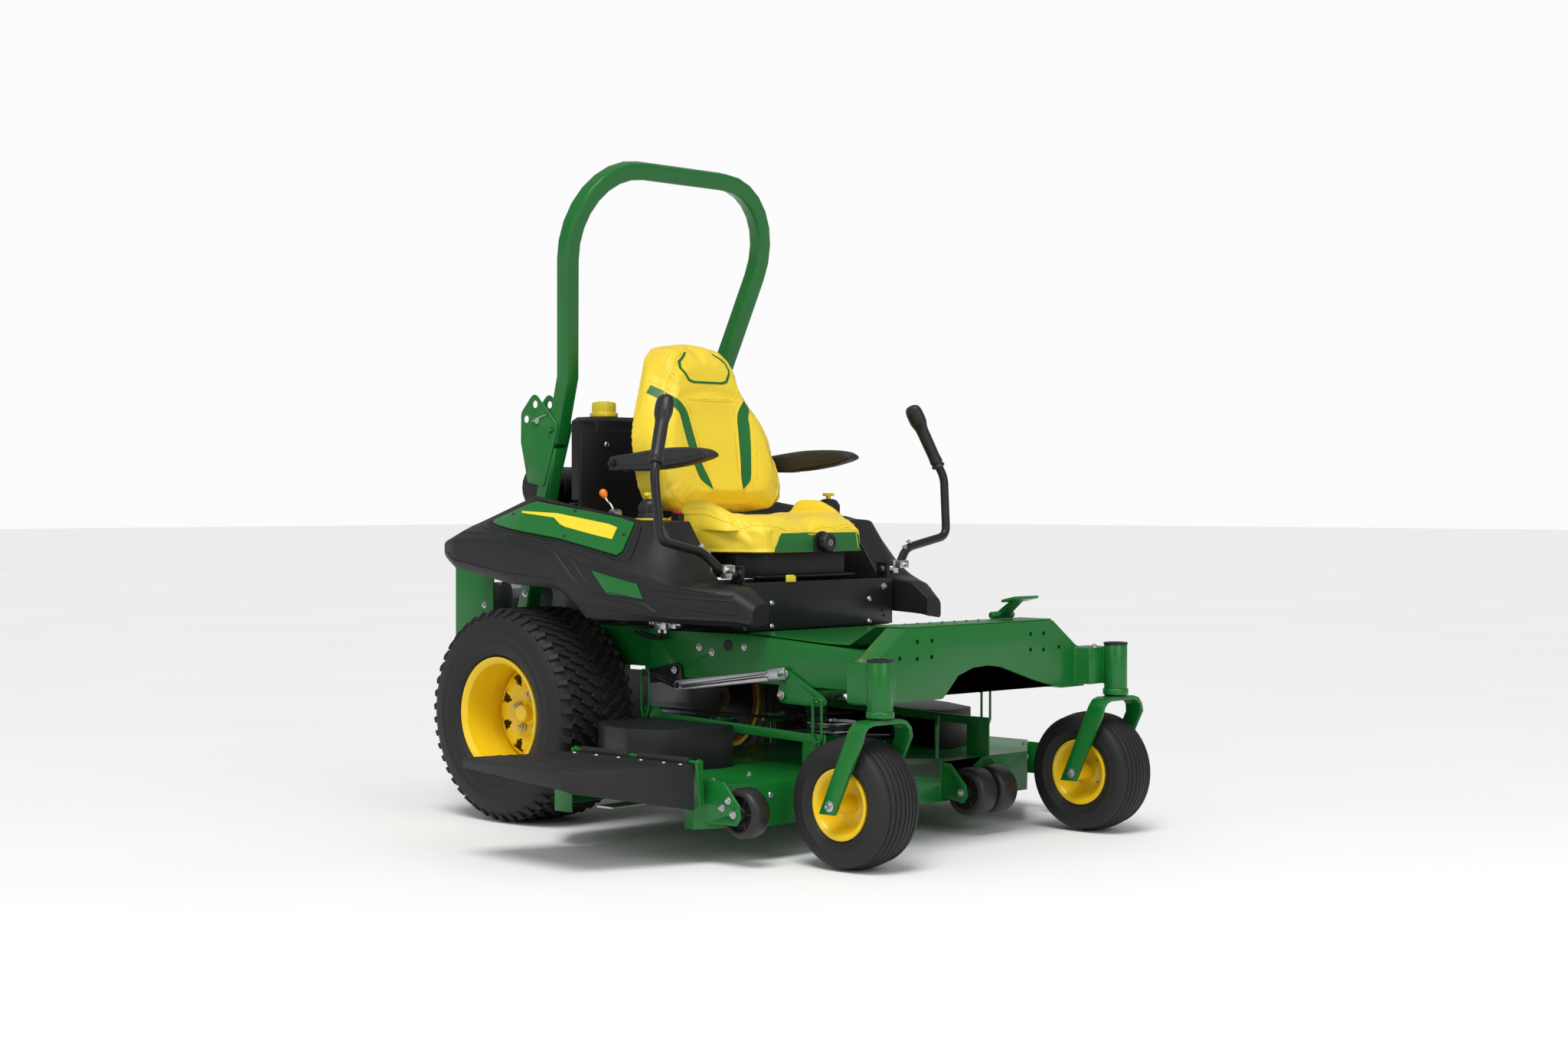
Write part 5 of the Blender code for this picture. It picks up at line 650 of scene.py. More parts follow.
def sidePod(label, side):
    bm = podShape(side)
    tree = skinTree(bm)
    bmesh.ops.solidify(bm, geom=bm.faces[:], thickness=pod["wall"])
    way = (0, -side, 0)
    spots = lambda line: [(x, 0, z) for x, z in line]
    # moulded ribs that sweep down from the arch to the toe
    ribs = [
        ([(-0.246, 0.823), (-0.12, 0.822), (0.041, 0.812), (0.15, 0.796), (0.215, 0.768), (0.262, 0.728),
          (0.31, 0.688), (0.372, 0.662),
          (0.47, 0.65), (0.545, 0.638), (0.592, 0.612)], 0.006, -0.0026),
        ([(-0.18, 0.842), (-0.02, 0.82), (0.17, 0.797), (0.332, 0.762), (0.47, 0.728), (0.56, 0.708), (0.64, 0.686),
          (0.735, 0.668)], 0.0055, -0.0028),
        ([(0.262, 0.768), (0.3, 0.74), (0.342, 0.7), (0.4, 0.672), (0.47, 0.662), (0.56, 0.648)], 0.0045, -0.0024),
        ([(0.549, 0.684), (0.612, 0.675), (0.705, 0.666), (0.779, 0.66)], 0.0035, -0.0016),
        ([(0.612, 0.639), (0.705, 0.622), (0.785, 0.613), (0.792, 0.63), (0.78, 0.646), (0.683, 0.653),
          (0.606, 0.659)], 0.0028, -0.0014),
        ([(-0.3, 0.762), (-0.262, 0.742), (-0.12, 0.722), (0.01, 0.706), (0.2, 0.694), (0.262, 0.668), (0.33, 0.634),
          (0.448, 0.622),
          (0.52, 0.612), (0.585, 0.606), (0.645, 0.6), (0.772, 0.594), (0.826, 0.588)], 0.006, -0.003),
    ]
    for line, radius, lift in ribs:
        ribOn(bm, tree, spots(line), way, radius, lift)
    # a raised frame round the coloured panel
    frameLine = [(-0.147, 0.85), (0.0, 0.905), (0.036, 0.917), (0.2, 0.896), (0.385, 0.872), (0.446, 0.858),
                 (0.455, 0.77), (0.44, 0.756),
                 (0.2, 0.8), (-0.06, 0.832), (-0.14, 0.842), (-0.147, 0.85)]
    rim = [Vector((x, 0, z)) for x, z in frameLine]
    dense = [p for p in (skinSpot(tree, a.lerp(b, k / 6), way, -0.0015) for a,
                         b in zip(rim, rim[1:]) for k in range(6)) if p]
    tube(bm, dense, 0.0042, 3, closed=True)
    settle(f"pod_{label}_skin", bm, "podPlastic", "mower", (f"pod_{label}",), 34, turnOut=False)
    panel = [(-0.128, 0.856), (0.006, 0.902), (0.036, 0.91), (0.2, 0.889), (0.372, 0.866), (0.44, 0.852),
             (0.446, 0.775), (0.436, 0.764),
             (0.2, 0.806), (-0.06, 0.838), (-0.122, 0.848)]
    part = patchOn(tree, panel, "y", way, 0.0052, 0.0045, 0.012, 0.0018)
    settle(f"pod_panel_{label}", part, "greenPaint", "mower", (), 30)
    inlay = [(-0.004, 0.882), (0.14, 0.876), (0.353, 0.847), (0.388, 0.838), (0.39, 0.806), (0.3, 0.82),
             (0.196, 0.838), (0.17, 0.846), (0.135, 0.864),
             (0.0, 0.877)]
    part = patchOn(tree, inlay, "y", way, 0.0064, 0.0014, 0.012)
    settle(f"pod_inlay_{label}", part, "stripeYellow", "mower", (), 30)
    badge = [(0.372, 0.725), (0.533, 0.691), (0.554, 0.651), (0.433, 0.662)]
    part = patchOn(tree, badge, "y", way, 0.0018, 0.0022, 0.01, 0.0006)
    settle(f"pod_plate_{label}", part, "greenPaint", "mower", (), 30)
    screws = bmesh.new()
    for x, z in ((-0.041, 0.873), (0.201, 0.884), (0.211, 0.813), (0.425, 0.82)):
        spot = skinSpot(tree, (x, 0, z), way, 0.005)
        near = skinSpot(tree, (x, 0, z), way, 0.0)
        domeHead(screws, spot, spot - near, 0.0055)
    settle(f"panel_screws_{label}", screws, "darkMetal", "mower")


for label, side in sides.items():
    sidePod(label, side)
print("pods made")


# ---- seat ----
seat = {"cushionTop": 0.862, "rise": 0.052, "cap": 0.012, "backCap": 0.014, "pressure": 4.0, "voxel": 0.0055}


def ease(low, high, value):
    t = max(0.0, min(1.0, (value - low) / (high - low)))
    return t * t * (3 - 2 * t)


def remeshed(bm, size):
    data = bpy.data.meshes.new("dough")
    bmesh.ops.recalc_face_normals(bm, faces=bm.faces)
    bm.to_mesh(data)
    bm.free()
    holder = bpy.data.objects.new("dough", data)
    bpy.context.scene.collection.objects.link(holder)
    maker = holder.modifiers.new("even", "REMESH")
    maker.mode, maker.voxel_size = "VOXEL", size
    made = bpy.data.meshes.new_from_object(holder.evaluated_get(bpy.context.evaluated_depsgraph_get()))
    bpy.data.objects.remove(holder)
    bpy.data.meshes.remove(data)
    return made


def swell(mesh, cap, pressure, held, frames=20):
    # foam under its cover, blown up a little by cloth with pressure inside
    holder = bpy.data.objects.new("swelling", mesh)
    bpy.context.scene.collection.objects.link(holder)
    rest = [v.co.copy() for v in mesh.vertices]
    group = holder.vertex_groups.new(name="held")
    group.add([v.index for v in mesh.vertices if held(v.co)], 1.0, "REPLACE")
    cloth = holder.modifiers.new("cover", "CLOTH")
    cloth.settings.quality = 4
    cloth.settings.mass = 0.25
    cloth.settings.tension_stiffness = cloth.settings.compression_stiffness = 22
    cloth.settings.shear_stiffness = 12
    cloth.settings.bending_stiffness = 2.0
    cloth.settings.use_pressure = True
    cloth.settings.uniform_pressure_force = pressure
    cloth.settings.effector_weights.gravity = 0
    cloth.settings.vertex_group_mass = "held"
    cloth.point_cache.frame_start, cloth.point_cache.frame_end = 1, frames
    for number in range(1, frames + 1):
        bpy.context.scene.frame_set(number)
    made = bpy.data.meshes.new_from_object(holder.evaluated_get(bpy.context.evaluated_depsgraph_get()))
    for vert, was in zip(made.vertices, rest):
        moved = vert.co - was
        if moved.length > cap:
            vert.co = was + moved.normalized() * cap
    bpy.data.objects.remove(holder)
    bpy.context.scene.frame_set(1)
    return made


def backFront(z):
    return 0.36 - 0.275 * (z - 0.9)


def smoothed(mesh, rounds, factor=0.5, keep=None):
    bm = bmesh.new()
    bm.from_mesh(mesh)
    pool = [v for v in bm.verts if not (keep and keep(v.co))]
    for _ in range(rounds):
        bmesh.ops.smooth_vert(bm, verts=pool, factor=factor, use_axis_x=True, use_axis_y=True, use_axis_z=True)
    return bm


def stitches(bm, line, length=0.0052, gap=0.0034, radius=0.0006):
    # short threads along a line, each standing a hair above the cover
    walked = 0.0
    for one, other in zip(line, line[1:]):
        span = (other - one).length
        while walked < span:
            start = one.lerp(other, walked / span)
            end = one.lerp(other, min(1.0, (walked + length) / span))
            if (end - start).length > length * 0.5:
                tube(bm, [start, end], radius, 0)
            walked += length + gap
        walked -= span


def denseLine(tree, spots, way, lift, steps=10):
    return [p for p in (skinSpot(tree, s, way, lift) for s in smoothLine(spots, steps)) if p]


def seatCushion():
    bm = looseCopy("seat_cushion")
    bmesh.ops.translate(bm, vec=-home, verts=bm.verts)
    dough = bmesh.new()
    dough.from_mesh(remeshed(bm, seat["voxel"]))
    half = lambda x: 0.266 if x < 0.6 else 0.266 - 0.62 * (x - 0.6)
    for vert in dough.verts:
        x, y, z = vert.co
        if z > 0.8:
            edge = min(half(x) - abs(y), 0.697 - x, x - 0.268)
            crown = seat["cushionTop"] - 0.03 * (1 - ease(0.0, 0.04, edge)) - 0.01 * (1 - ease(0, 0.1, abs(y)))
            hips = seat["rise"] * ease(0.165, 0.225,
                                       abs(y)) * ease(0.315, 0.43,
                                                      x) * (1 - ease(0.5, 0.655, x)) * ease(0.0, 0.016, half(x) - abs(y))
            share = ease(0.8, 0.85, z)
            vert.co.z = (z * (1 - share) + min(z, crown + hips) * share if z < crown + hips
                         else z * (1 - share) + (crown + hips) * share)
    mesh = bpy.data.meshes.new("cushion")
    dough.to_mesh(mesh)
    dough.free()
    soft = smoothed(mesh, 7, 0.5, lambda p: p.z < 0.778)
    for vert in soft.verts:
        # a start a little smaller than the space it fills
        if vert.co.z > 0.778:
            vert.co.x -= 0.006 * ease(0.6, 0.7, vert.co.x)
            vert.co.y *= 0.982
    soft.to_mesh(mesh)
    soft.free()
    mesh = swell(mesh, seat["cap"], seat["pressure"], lambda p: p.z < 0.776)
    final = smoothed(mesh, 2, 0.5, lambda p: p.z < 0.774)
    for vert in final.verts:
        vert.co.x = max(0.2605, min(vert.co.x, 0.7005))
        vert.co.y = max(-0.2745, min(vert.co.y, 0.2745))
        vert.co.z = max(0.7708, vert.co.z)
    tree = skinTree(final)
    piece = settle("seat_cushion_cover", final, "yellowVinyl", "seat", ("seat_cushion",), 60)
    refine(piece)
    band = [(-0.166, 0.7735), (-0.14, 0.815), (-0.128, 0.8245), (0.18, 0.8245), (0.19, 0.815), (0.19, 0.7735)]
    part = patchOn(tree, band, "x", (-1, 0, 0), 0.001, 0.0016, 0.008)
    settle("cushion_band", part, "greenVinyl", "seat", (), 50)
    piping, thread = bmesh.new(), bmesh.new()
    down = (0, 0, -1)
    for way in (1, -1):
        top = [(0.3, way * 0.236, 0), (0.38, way * 0.252, 0), (0.47, way * 0.256, 0), (0.56, way * 0.252, 0),
               (0.605, way * 0.24, 0),
               (0.65, way * 0.208, 0), (0.678, way * 0.18, 0)]
        line = denseLine(tree, top, down, 0.0002)
        tube(piping, line, 0.0017, 3)
        beside = denseLine(tree, [(x, y - way * 0.006, z) for x, y, z in top], down, 0.0006)
        stitches(thread, beside)
        corner = [(0, way * 0.176, 0.846), (0, way * 0.178, 0.815), (0, way * 0.181, 0.78)]
        line = denseLine(tree, corner, (-1, 0, 0), 0.0002)
        tube(piping, line, 0.0015, 3)
        stitches(thread, denseLine(tree, [(x, y - way * 0.005, z) for x, y, z in corner], (-1, 0, 0), 0.0006))
        stitches(thread, denseLine(tree, [(x, y + way * 0.005, z) for x, y, z in corner], (-1, 0, 0), 0.0006))
    front = [(0.681, -0.165, 0), (0.684, -0.08, 0), (0.6835, -0.03, 0), (0.676, 0.01, 0), (0.676, 0.07, 0),
             (0.6835, 0.105, 0), (0.683, 0.165, 0)]
    tube(piping, denseLine(tree, front, down, 0.0002), 0.0015, 3)
    stitches(thread, denseLine(tree, [(x - 0.006, y, z) for x, y, z in front], down, 0.0006))
    settle("cushion_piping", piping, "yellowVinyl", "seat")
    settle("cushion_thread", thread, "stitchThread", "seat")


def seatBack():
    bm = looseCopy("seat_back")
    bmesh.ops.translate(bm, vec=-home, verts=bm.verts)
    mesh = remeshed(bm, seat["voxel"])
    dough = bmesh.new()
    dough.from_mesh(mesh)
    for vert in dough.verts:
        x, y, z = vert.co
        depth = backFront(z) - x
        if depth < 0.055:
            share = 1 - ease(0.012, 0.055, depth)
            # wings at the ribs, a hollow down the middle and a pillow at the head
            wing = 0.0 if abs(y) < 0.12 else 0.004 * ease(0.12, 0.17,
                                                          abs(y)) * ease(0.93, 1.0, z) * (1 - ease(1.12, 1.22, z))
            hollow = -0.01 * (1 - ease(0.07, 0.16, abs(y))) * ease(0.92, 1.02, z) * (1 - ease(1.14, 1.24, z))
            groove = -0.006 * (1 - ease(0.0, 0.022, abs(z - 1.232 + 0.02 * (abs(y) / 0.12))))
            groove *= 1 - ease(0.11, 0.15, abs(y))
            head = -0.004 + 0.004 * ease(1.25, 1.3, z)
            vert.co.x += share * (wing + hollow + groove + head)
    dough.to_mesh(mesh)
    dough.free()
    rear = lambda p: backFront(p.z) - p.x > 0.106
    soft = smoothed(mesh, 6, 0.5, rear)
    for vert in soft.verts:
        vert.co.y *= 0.985
        if not rear(vert.co):
            vert.co.x -= 0.005
    soft.to_mesh(mesh)
    soft.free()
    mesh = swell(mesh, seat["backCap"], seat["pressure"], rear)
    final = smoothed(mesh, 2, 0.5, rear)
    tree = skinTree(final)
    piece = settle("seat_back_cover", final, "yellowVinyl", "backrest", ("seat_back",), 60)
    refine(piece)
    way = (-1, 0, 0)
    stripe = [(0.17, 1.25), (0.187, 1.226), (0.163, 1.194), (0.142, 1.165), (0.138, 1.128), (0.129, 1.071),
              (0.113, 1.0), (0.1, 0.972),
              (0.061, 0.947), (0.066, 0.985), (0.078, 1.025), (0.09,
                                                               1.104), (0.1, 1.167), (0.119, 1.196), (0.15, 1.224)]
    edging, thread, accents = bmesh.new(), bmesh.new(), bmesh.new()
    for flank in (1, -1):
        part = patchOn(tree, [(flank * y, z) for y, z in stripe], "x", way, 0.0009, 0.0014, 0.007)
        addTo(accents, part)
        rim = [(0, flank * y, z) for y, z in stripe]
        tube(edging, denseLine(tree, rim + rim[:1], way, 0.0004, 6), 0.0012, 2)
        outer = [(0, flank * y, z) for y, z in ((0.2, 1.206), (0.176, 1.184), (0.155, 1.15), (0.15, 1.1),
                                                (0.141, 1.04), (0.122, 0.975), (0.062, 0.936))]
        stitches(thread, denseLine(tree, outer, way, 0.0006))
        inner = [(0, flank * y, z) for y, z in ((0.168, 1.262), (0.13, 1.218), (0.092, 1.184), (0.079, 1.11),
                                                (0.066, 1.03), (0.052, 0.945))]
        stitches(thread, denseLine(tree, inner, way, 0.0006))
        brim = [(0, flank * y, z) for y, z in ((0.18, 0.905), (0.216, 0.94), (0.228, 0.985), (0.224, 1.04),
                                               (0.214, 1.1), (0.19, 1.168), (0.16, 1.22), (0.132, 1.278),
                                               (0.108, 1.322), (0.076, 1.346))]
        tube(edging, denseLine(tree, brim, way, 0.0003), 0.0017, 3)
        stitches(thread, denseLine(tree, [(x, y - flank * 0.007, z) for x, y, z in brim], way, 0.0006))
    centre = [(-0.058, 1.35), (-0.098, 1.321), (-0.103, 1.3), (-0.079, 1.262), (-0.06, 1.2565), (0.06, 1.2565),
              (0.079, 1.262), (0.103, 1.3), (0.098, 1.321), (0.058, 1.35)]
    inner = [(y * 0.915, 1.3025 + (z - 1.3025) * 0.85 + (0.004 if z > 1.34 else 0)) for y, z in centre]
    halo = [p for p in centre] + inner[::-1]
    addTo(accents, patchOn(tree, halo, "x", way, 0.0009, 0.0014, 0.007))
    head = [(0, -0.117, 1.335), (0, -0.136, 1.3), (0, -0.118, 1.245), (0, -0.1, 1.212), (0, -0.078, 1.207),
            (0, 0.078, 1.207), (0, 0.1, 1.212), (0, 0.118, 1.245), (0, 0.136, 1.3), (0, 0.117, 1.335)]
    tube(edging, denseLine(tree, head, way, 0.0002), 0.0014, 3)
    stitches(thread, denseLine(tree, [(0, y * 0.95, z + 0.004) for _, y, z in head], way, 0.0006))
    settle("back_stripes", accents, "greenVinyl", "backrest", (), 50, turnOut=False)
    settle("back_piping", edging, "yellowVinyl", "backrest")
    settle("back_thread", thread, "stitchThread", "backrest")


def armrest(label, side):
    bm = looseCopy(f"armrest_{label}")
    bmesh.ops.translate(bm, vec=-home, verts=bm.verts)
    mesh = remeshed(bm, 0.004)
    soft = smoothed(mesh, 9, 0.5, lambda p: p.x < 0.222)
    soft.to_mesh(mesh)
    soft.free()
    mesh = swell(mesh, 0.006, 3.0, lambda p: p.x < 0.224 or p.z < 1.002, 14)
    final = smoothed(mesh, 2)
    low, high = (0.2623, 0.3137)
    for vert in final.verts:
        vert.co.y = side * max(low, min(side * vert.co.y, high))
    tree = skinTree(final)
    piece = settle(f"armrest_{label}_pad", final, "armPad", f"arm_{label}", (f"armrest_{label}",), 60)
    refine(piece)
    seam = bmesh.new()
    line = [(0.235, 0, 1.016), (0.33, 0, 1.018), (0.42, 0, 1.026), (0.5, 0, 1.035), (0.56, 0, 1.042)]
    for way in (1, -1):
        tube(seam, denseLine(tree, line, (0, way, 0), 0.0001), 0.0012, 2)
    settle(f"armrest_{label}_seam", seam, "armPad", f"arm_{label}")
    bolt = bmesh.new()
    hexHead(bolt, (0.199, side * 0.3195, 1.021), (0, side, 0), 0.015)
    settle(f"armrest_bolt_{label}", bolt, "darkMetal", "backrest")


seatCushion()
seatBack()
for label, side in sides.items():
    armrest(label, side)
print("seat made")


# ---- control levers ----
grip = {"tube": 0.0125, "start": (0.6615, 0.5786, 1.0135), "end": (0.619, 0.5, 1.197)}


def bentLine(points, bend=0.03, steps=6):
    line = [Vector(points[0])]
    for a, b, c in zip(points, points[1:], points[2:]):
        line += roundCorner(a, b, c, bend, steps)
    return line + [Vector(points[-1])]


def ovalBody(bm, start, end, wide, rows, steps=28):
    # an oval section carried along a line; each row is (share of the length, half width, half thickness)
    start, end = Vector(start), Vector(end)
    along = (end - start).normalized()
    across = (Vector(wide) - along * Vector(wide).dot(along)).normalized()
    thin = along.cross(across)
    loops = []
    for share, a, b in rows:
        middle = start.lerp(end, share)
        turns = [2 * math.pi * k / steps for k in range(steps)]
        ring = [bm.verts.new(middle + across * a * math.cos(t) + thin * b * math.sin(t)) for t in turns]
        loops.append([bm.edges.new(pair) for pair in zip(ring, ring[1:] + ring[:1])])
    for one, other in zip(loops, loops[1:]):
        bmesh.ops.bridge_loops(bm, edges=one + other)
    bmesh.ops.holes_fill(bm, edges=loops[0] + loops[-1], sides=0)


def controlLever(label, side):
    flip = lambda p: Vector((p[0], side * p[1], p[2]))
    bar, hand = bmesh.new(), bmesh.new()
    path = [(0.688, 0.373, 0.734), (0.674, 0.416, 0.776), (0.685, 0.585, 0.81), (0.671, 0.591, 0.984),
            (0.6585, 0.573, 1.027)]
    tube(bar, bentLine([flip(p) for p in path]), grip["tube"], 5)
    rod(bar, flip((0.6685, 0.365, 0.73)), (1, 0, 0), 0.0125, 0.039, 28, 0.0012)
    settle(f"lever_bar_{label}", bar, "blackSheet", f"lever_{label}", (f"control_lever_{label}",), 40)
    # a flared collar, a waisted handle and a wide rounded paddle
    rows = [(0.0, 0.015, 0.015), (0.004, 0.0185, 0.0185), (0.016, 0.0205, 0.0205), (0.04, 0.0202, 0.0202),
            (0.05, 0.0172, 0.0172),
            (0.062, 0.0168, 0.0168), (0.074, 0.0196, 0.0192), (0.115, 0.0196, 0.019), (0.15, 0.0178, 0.0172),
            (0.3, 0.0186, 0.0176),
            (0.48, 0.0194, 0.018), (0.59, 0.019, 0.0172), (0.65, 0.0216, 0.0182), (0.7, 0.0268, 0.0208),
            (0.76, 0.0286, 0.0222),
            (0.88, 0.0284, 0.022), (0.94, 0.0262, 0.02), (0.978, 0.021,
                                                          0.0152), (0.995, 0.013, 0.009), (1.0, 0.004, 0.0028)]
    ovalBody(hand, flip(grip["start"]), flip(grip["end"]), (1, 0, 0.0), rows)
    piece = settle(f"lever_grip_{label}", hand, "grip", f"lever_{label}", (), 50)
    refine(piece)
    fit = bmesh.new()
    pinHead(fit, flip((0.707, 0.365, 0.73)), (1, 0, 0), 0.0078, 0.005)
    hexHead(fit, flip((0.679, 0.404, 0.777)), (0.5, 0, 0.85), 0.011)
    hexHead(fit, flip((0.677, 0.424, 0.7915)), (0.2, 0, 1), 0.011)
    settle(f"lever_bolts_{label}", fit, "brightSteel", f"lever_{label}")


for label, side in sides.items():
    controlLever(label, side)


# ---- caps, knob and throttle ----
def fuelCap(label, side):
    spot = Vector((0.411, side * 0.363, 0.862))
    bm = bmesh.new()
    dome = [(0, 0), (0.0345, 0), (0.0355, 0.001), (0.0355, 0.016), (0.0345, 0.0175), (0.033, 0.018), (0.0325, 0.036),
            (0.0315, 0.043),
            (0.028, 0.05), (0.022, 0.0548), (0.014, 0.0575), (0, 0.0585)]
    lathe(bm, dome, spot, (0, 0, 1), 60)
    for k in range(20):
        t = 2 * math.pi * k / 20
        at = spot + Vector((0.0322 * math.cos(t), 0.0322 * math.sin(t), 0.019))
        rod(bm, at, (0, 0, 1), 0.0026, 0.022, 10, 0.001)
    settle(f"fuel_cap_{label}_dome", bm, "grip", f"fuel_cap_{label[0]}", (f"fuel_cap_{label}",), 40)
    tab = bmesh.new()
    block(tab, (spot.x - 0.005, spot.x + 0.005), (spot.y - 0.0065, spot.y + 0.0065), (spot.z + 0.057, spot.z + 0.07),
          0.0012)
    block(tab, (spot.x - 0.007, spot.x + 0.007), (spot.y - 0.019, spot.y + 0.019), (spot.z + 0.066, spot.z + 0.0755),
          0.0022, 3)
    settle(f"fuel_tab_{label}", tab, "stripeYellow", f"fuel_cap_{label[0]}")
    # the neck's yellow collar stays with the pod
    ring = bmesh.new()
    lathe(ring, [(0.0375, 0.8612), (0.044, 0.8612), (0.044, 0.865), (0.043, 0.8662), (0.0375, 0.8662)],
          (spot.x, spot.y, 0), (0, 0, 1), 60, closed=True)
    settle(f"fuel_neck_{label}", ring, "stripeYellow", "mower")


def tankCap():
    spot = Vector((-0.045, -0.13, 1.1638))
    bm = bmesh.new()
    steps = [(0, 0), (0.0408, 0), (0.0418, 0.001), (0.0418, 0.011), (0.0408, 0.0122), (0.0352, 0.013), (0.0348, 0.015),
             (0.0348, 0.04),
             (0.0338, 0.0425), (0.03, 0.044), (0.018, 0.0448), (0.017, 0.0465), (0, 0.047)]
    lathe(bm, steps, spot, (0, 0, 1), 72)
    for k in range(28):
        t = 2 * math.pi * k / 28
        rod(bm, spot + Vector((0.0346 * math.cos(t), 0.0346 * math.sin(t), 0.017)), (0, 0, 1), 0.0016, 0.0215, 8,
            0.0006)
    settle("tank_cap_steps", bm, "stripeYellow", "oil_cap", ("tank_cap",), 40)


def weightKnob():
    bm = bmesh.new()
    profile = [(0, 0.0), (0.015, 0.0), (0.016, 0.0015), (0.0165, 0.006), (0.0245, 0.0075), (0.0268, 0.01),
               (0.0276, 0.014), (0.0276, 0.026),
               (0.0262, 0.0305), (0.0225, 0.033), (0.018, 0.0336), (0.0175, 0.0318), (0, 0.0318)]
    lathe(bm, profile, (0, 0, 0), (0, 0, 1), 80)
    for vert in bm.verts:
        reach = math.hypot(vert.co.x, vert.co.y)
        if reach > 0.019:
            # finger scallops round the rim
            dent = 1 - 0.07 * max(0.0, math.cos(8 * math.atan2(vert.co.y, vert.co.x))) ** 2 * ease(0.019, 0.0268, reach)
            vert.co.x *= dent
            vert.co.y *= dent
    bmesh.ops.transform(bm, matrix=facing((0.7003, 0.026, 0.797), (1, 0, 0)), verts=bm.verts)
    settle("seat_knob_body", bm, "grip", "weight_knob", ("seat_knob",), 40)
    ring = bmesh.new()
    lathe(ring, [(0.0062, 0.0316), (0.0082, 0.0316), (0.0082, 0.0325), (0.0062, 0.0325)], (0.7003, 0.026, 0.797),
          (1, 0, 0), 40, closed=True)
    pinHead(ring, (0.732, 0.026, 0.797), (1, 0, 0), 0.0022, 0.0012)
    settle("seat_knob_mark", ring, "brightSteel", "weight_knob")
    # the shield that the knob stands on
    shield = bmesh.new()
    edge = [(0.026 + 0.0345 * math.cos(t), 0.801 + 0.0285 * math.sin(t)) for t in (math.pi * k / 12 for k in range(13))]
    edge = edge + [(-0.01, 0.774), (-0.006, 0.771), (0.058, 0.771), (0.062, 0.774)]
    plate(shield, edge, "x", 0.6975, 0.702, 0.0012)
    settle("knob_shield", shield, "blackPlastic", "seat")


def throttle():
    bar, ball = bmesh.new(), bmesh.new()
    rod(bar, (0.25, -0.3365, 0.8779), (0, -1, 0), 0.0138, 0.027, 36, 0.001)
    line = smoothLine([(0.247, -0.35, 0.88), (0.232, -0.35, 0.902), (0.216, -0.35, 0.914), (0.204, -0.35, 0.928)], 5)
    tube(bar, line, 0.0034, 4)
    settle("throttle_rod", bar, "brightSteel", "throttle", ("throttle_lever",), 40)
    ovalBody(ball, (0.2085, -0.35, 0.9215), (0.192, -0.35, 0.947), (0, 1, 0),
             [(0, 0.004, 0.004), (0.04, 0.0058, 0.0056), (0.2, 0.009, 0.0088), (0.42, 0.0116, 0.0112),
              (0.62, 0.0122, 0.0118), (0.8, 0.0104, 0.01),
              (0.92, 0.0068, 0.0066), (1.0, 0.002, 0.002)], 24)
    piece = settle("throttle_knob", ball, "orangePlastic", "throttle", (), 60)
    refine(piece)
    boot = bmesh.new()
    plate(boot, [(0.205, -0.367), (0.29, -0.367), (0.29, -0.333), (0.205, -0.333)], "z", 0.8615, 0.864, 0.001)
    settle("throttle_plate", boot, "blackSheet", "mower")


for label, side in sides.items():
    fuelCap(label, side)
tankCap()
weightKnob()
throttle()


# ---- anti-scalp rollers ----
def roller(bm, x, middle, z, radius, wide):
    half = wide / 2
    rim = [(0.0068, half - 0.004), (0.0165, half - 0.004), (0.018, half - 0.006), (0.0185, half - 0.014),
           (0.04, half - 0.014), (0.0425, half - 0.012),
           (0.044, half - 0.004), (0.047, half - 0.0005), (radius - 0.012, half), (radius - 0.006, half - 0.003),
           (radius - 0.002, half - 0.009),
           (radius, half - 0.018)]
    lathe(bm, rim + [(r, -h) for r, h in rim[::-1]], (x, middle, z), (0, 1, 0), 64, closed=True)
    for way in (1, -1):
        for k in range(6):
            t = math.pi / 3 * k
            spoke = bmesh.new()
            block(spoke, (0.0175, 0.0435), (-0.0022, 0.0022), (half - 0.015, half - 0.0065), 0.0008)
            bmesh.ops.rotate(spoke, cent=(0, 0, 0), matrix=Matrix.Rotation(t, 3, "Z"), verts=spoke.verts)
            bmesh.ops.transform(spoke, matrix=facing((x, middle, z), (0, way, 0)), verts=spoke.verts)
            addTo(bm, spoke)


twin = bmesh.new()
for middle in (0.1675, 0.2545):
    roller(twin, 1.13, middle, 0.121, 0.0658, 0.0745)
settle("twin_rollers_wheels", twin, "grip", "front_rollers", ("twin_rollers",), 40)
for label, x, middle in (("left", 1.03, 0.69), ("right", 1.085, -0.665)):
    bm = bmesh.new()
    roller(bm, x, middle, 0.137, 0.0638, 0.0595)
    settle(f"roller_{label}_wheel", bm, "grip", f"side_roller_{label}", (f"roller_{label}",), 40)
print("levers, caps and rollers made")


# ---- small fittings, each set on the skin that carries it ----
def nodeTree(node):
    bm = looseCopy(node)
    bmesh.ops.translate(bm, vec=-home, verts=bm.verts)
    made = BVHTree.FromBMesh(bm)
    bm.free()
    return made


skins = {n: nodeTree(n) for n in ("frame_rails", "front_beam", "rops_post_left", "rops_post_right", "deck_shell",
                                  "seat_base", "discharge_chute", "lift_front",
                                  "lift_rear", "foot_platform", "rear_guard", "engine_covers", "oil_tank",
                                  "transmissions", "pod_left", "pod_right", "rops_hoop",
                                  "back_shell", "engine_block", "lift_pedal")}


def seatOn(node, spot, way):
    tree = skins[node]
    way = Vector(way).normalized()
    hit, normal, _, _ = tree.ray_cast(Vector(spot) - way * 0.6, way)
    return hit, (-normal if normal is not None and normal.dot(way) > 0 else normal)


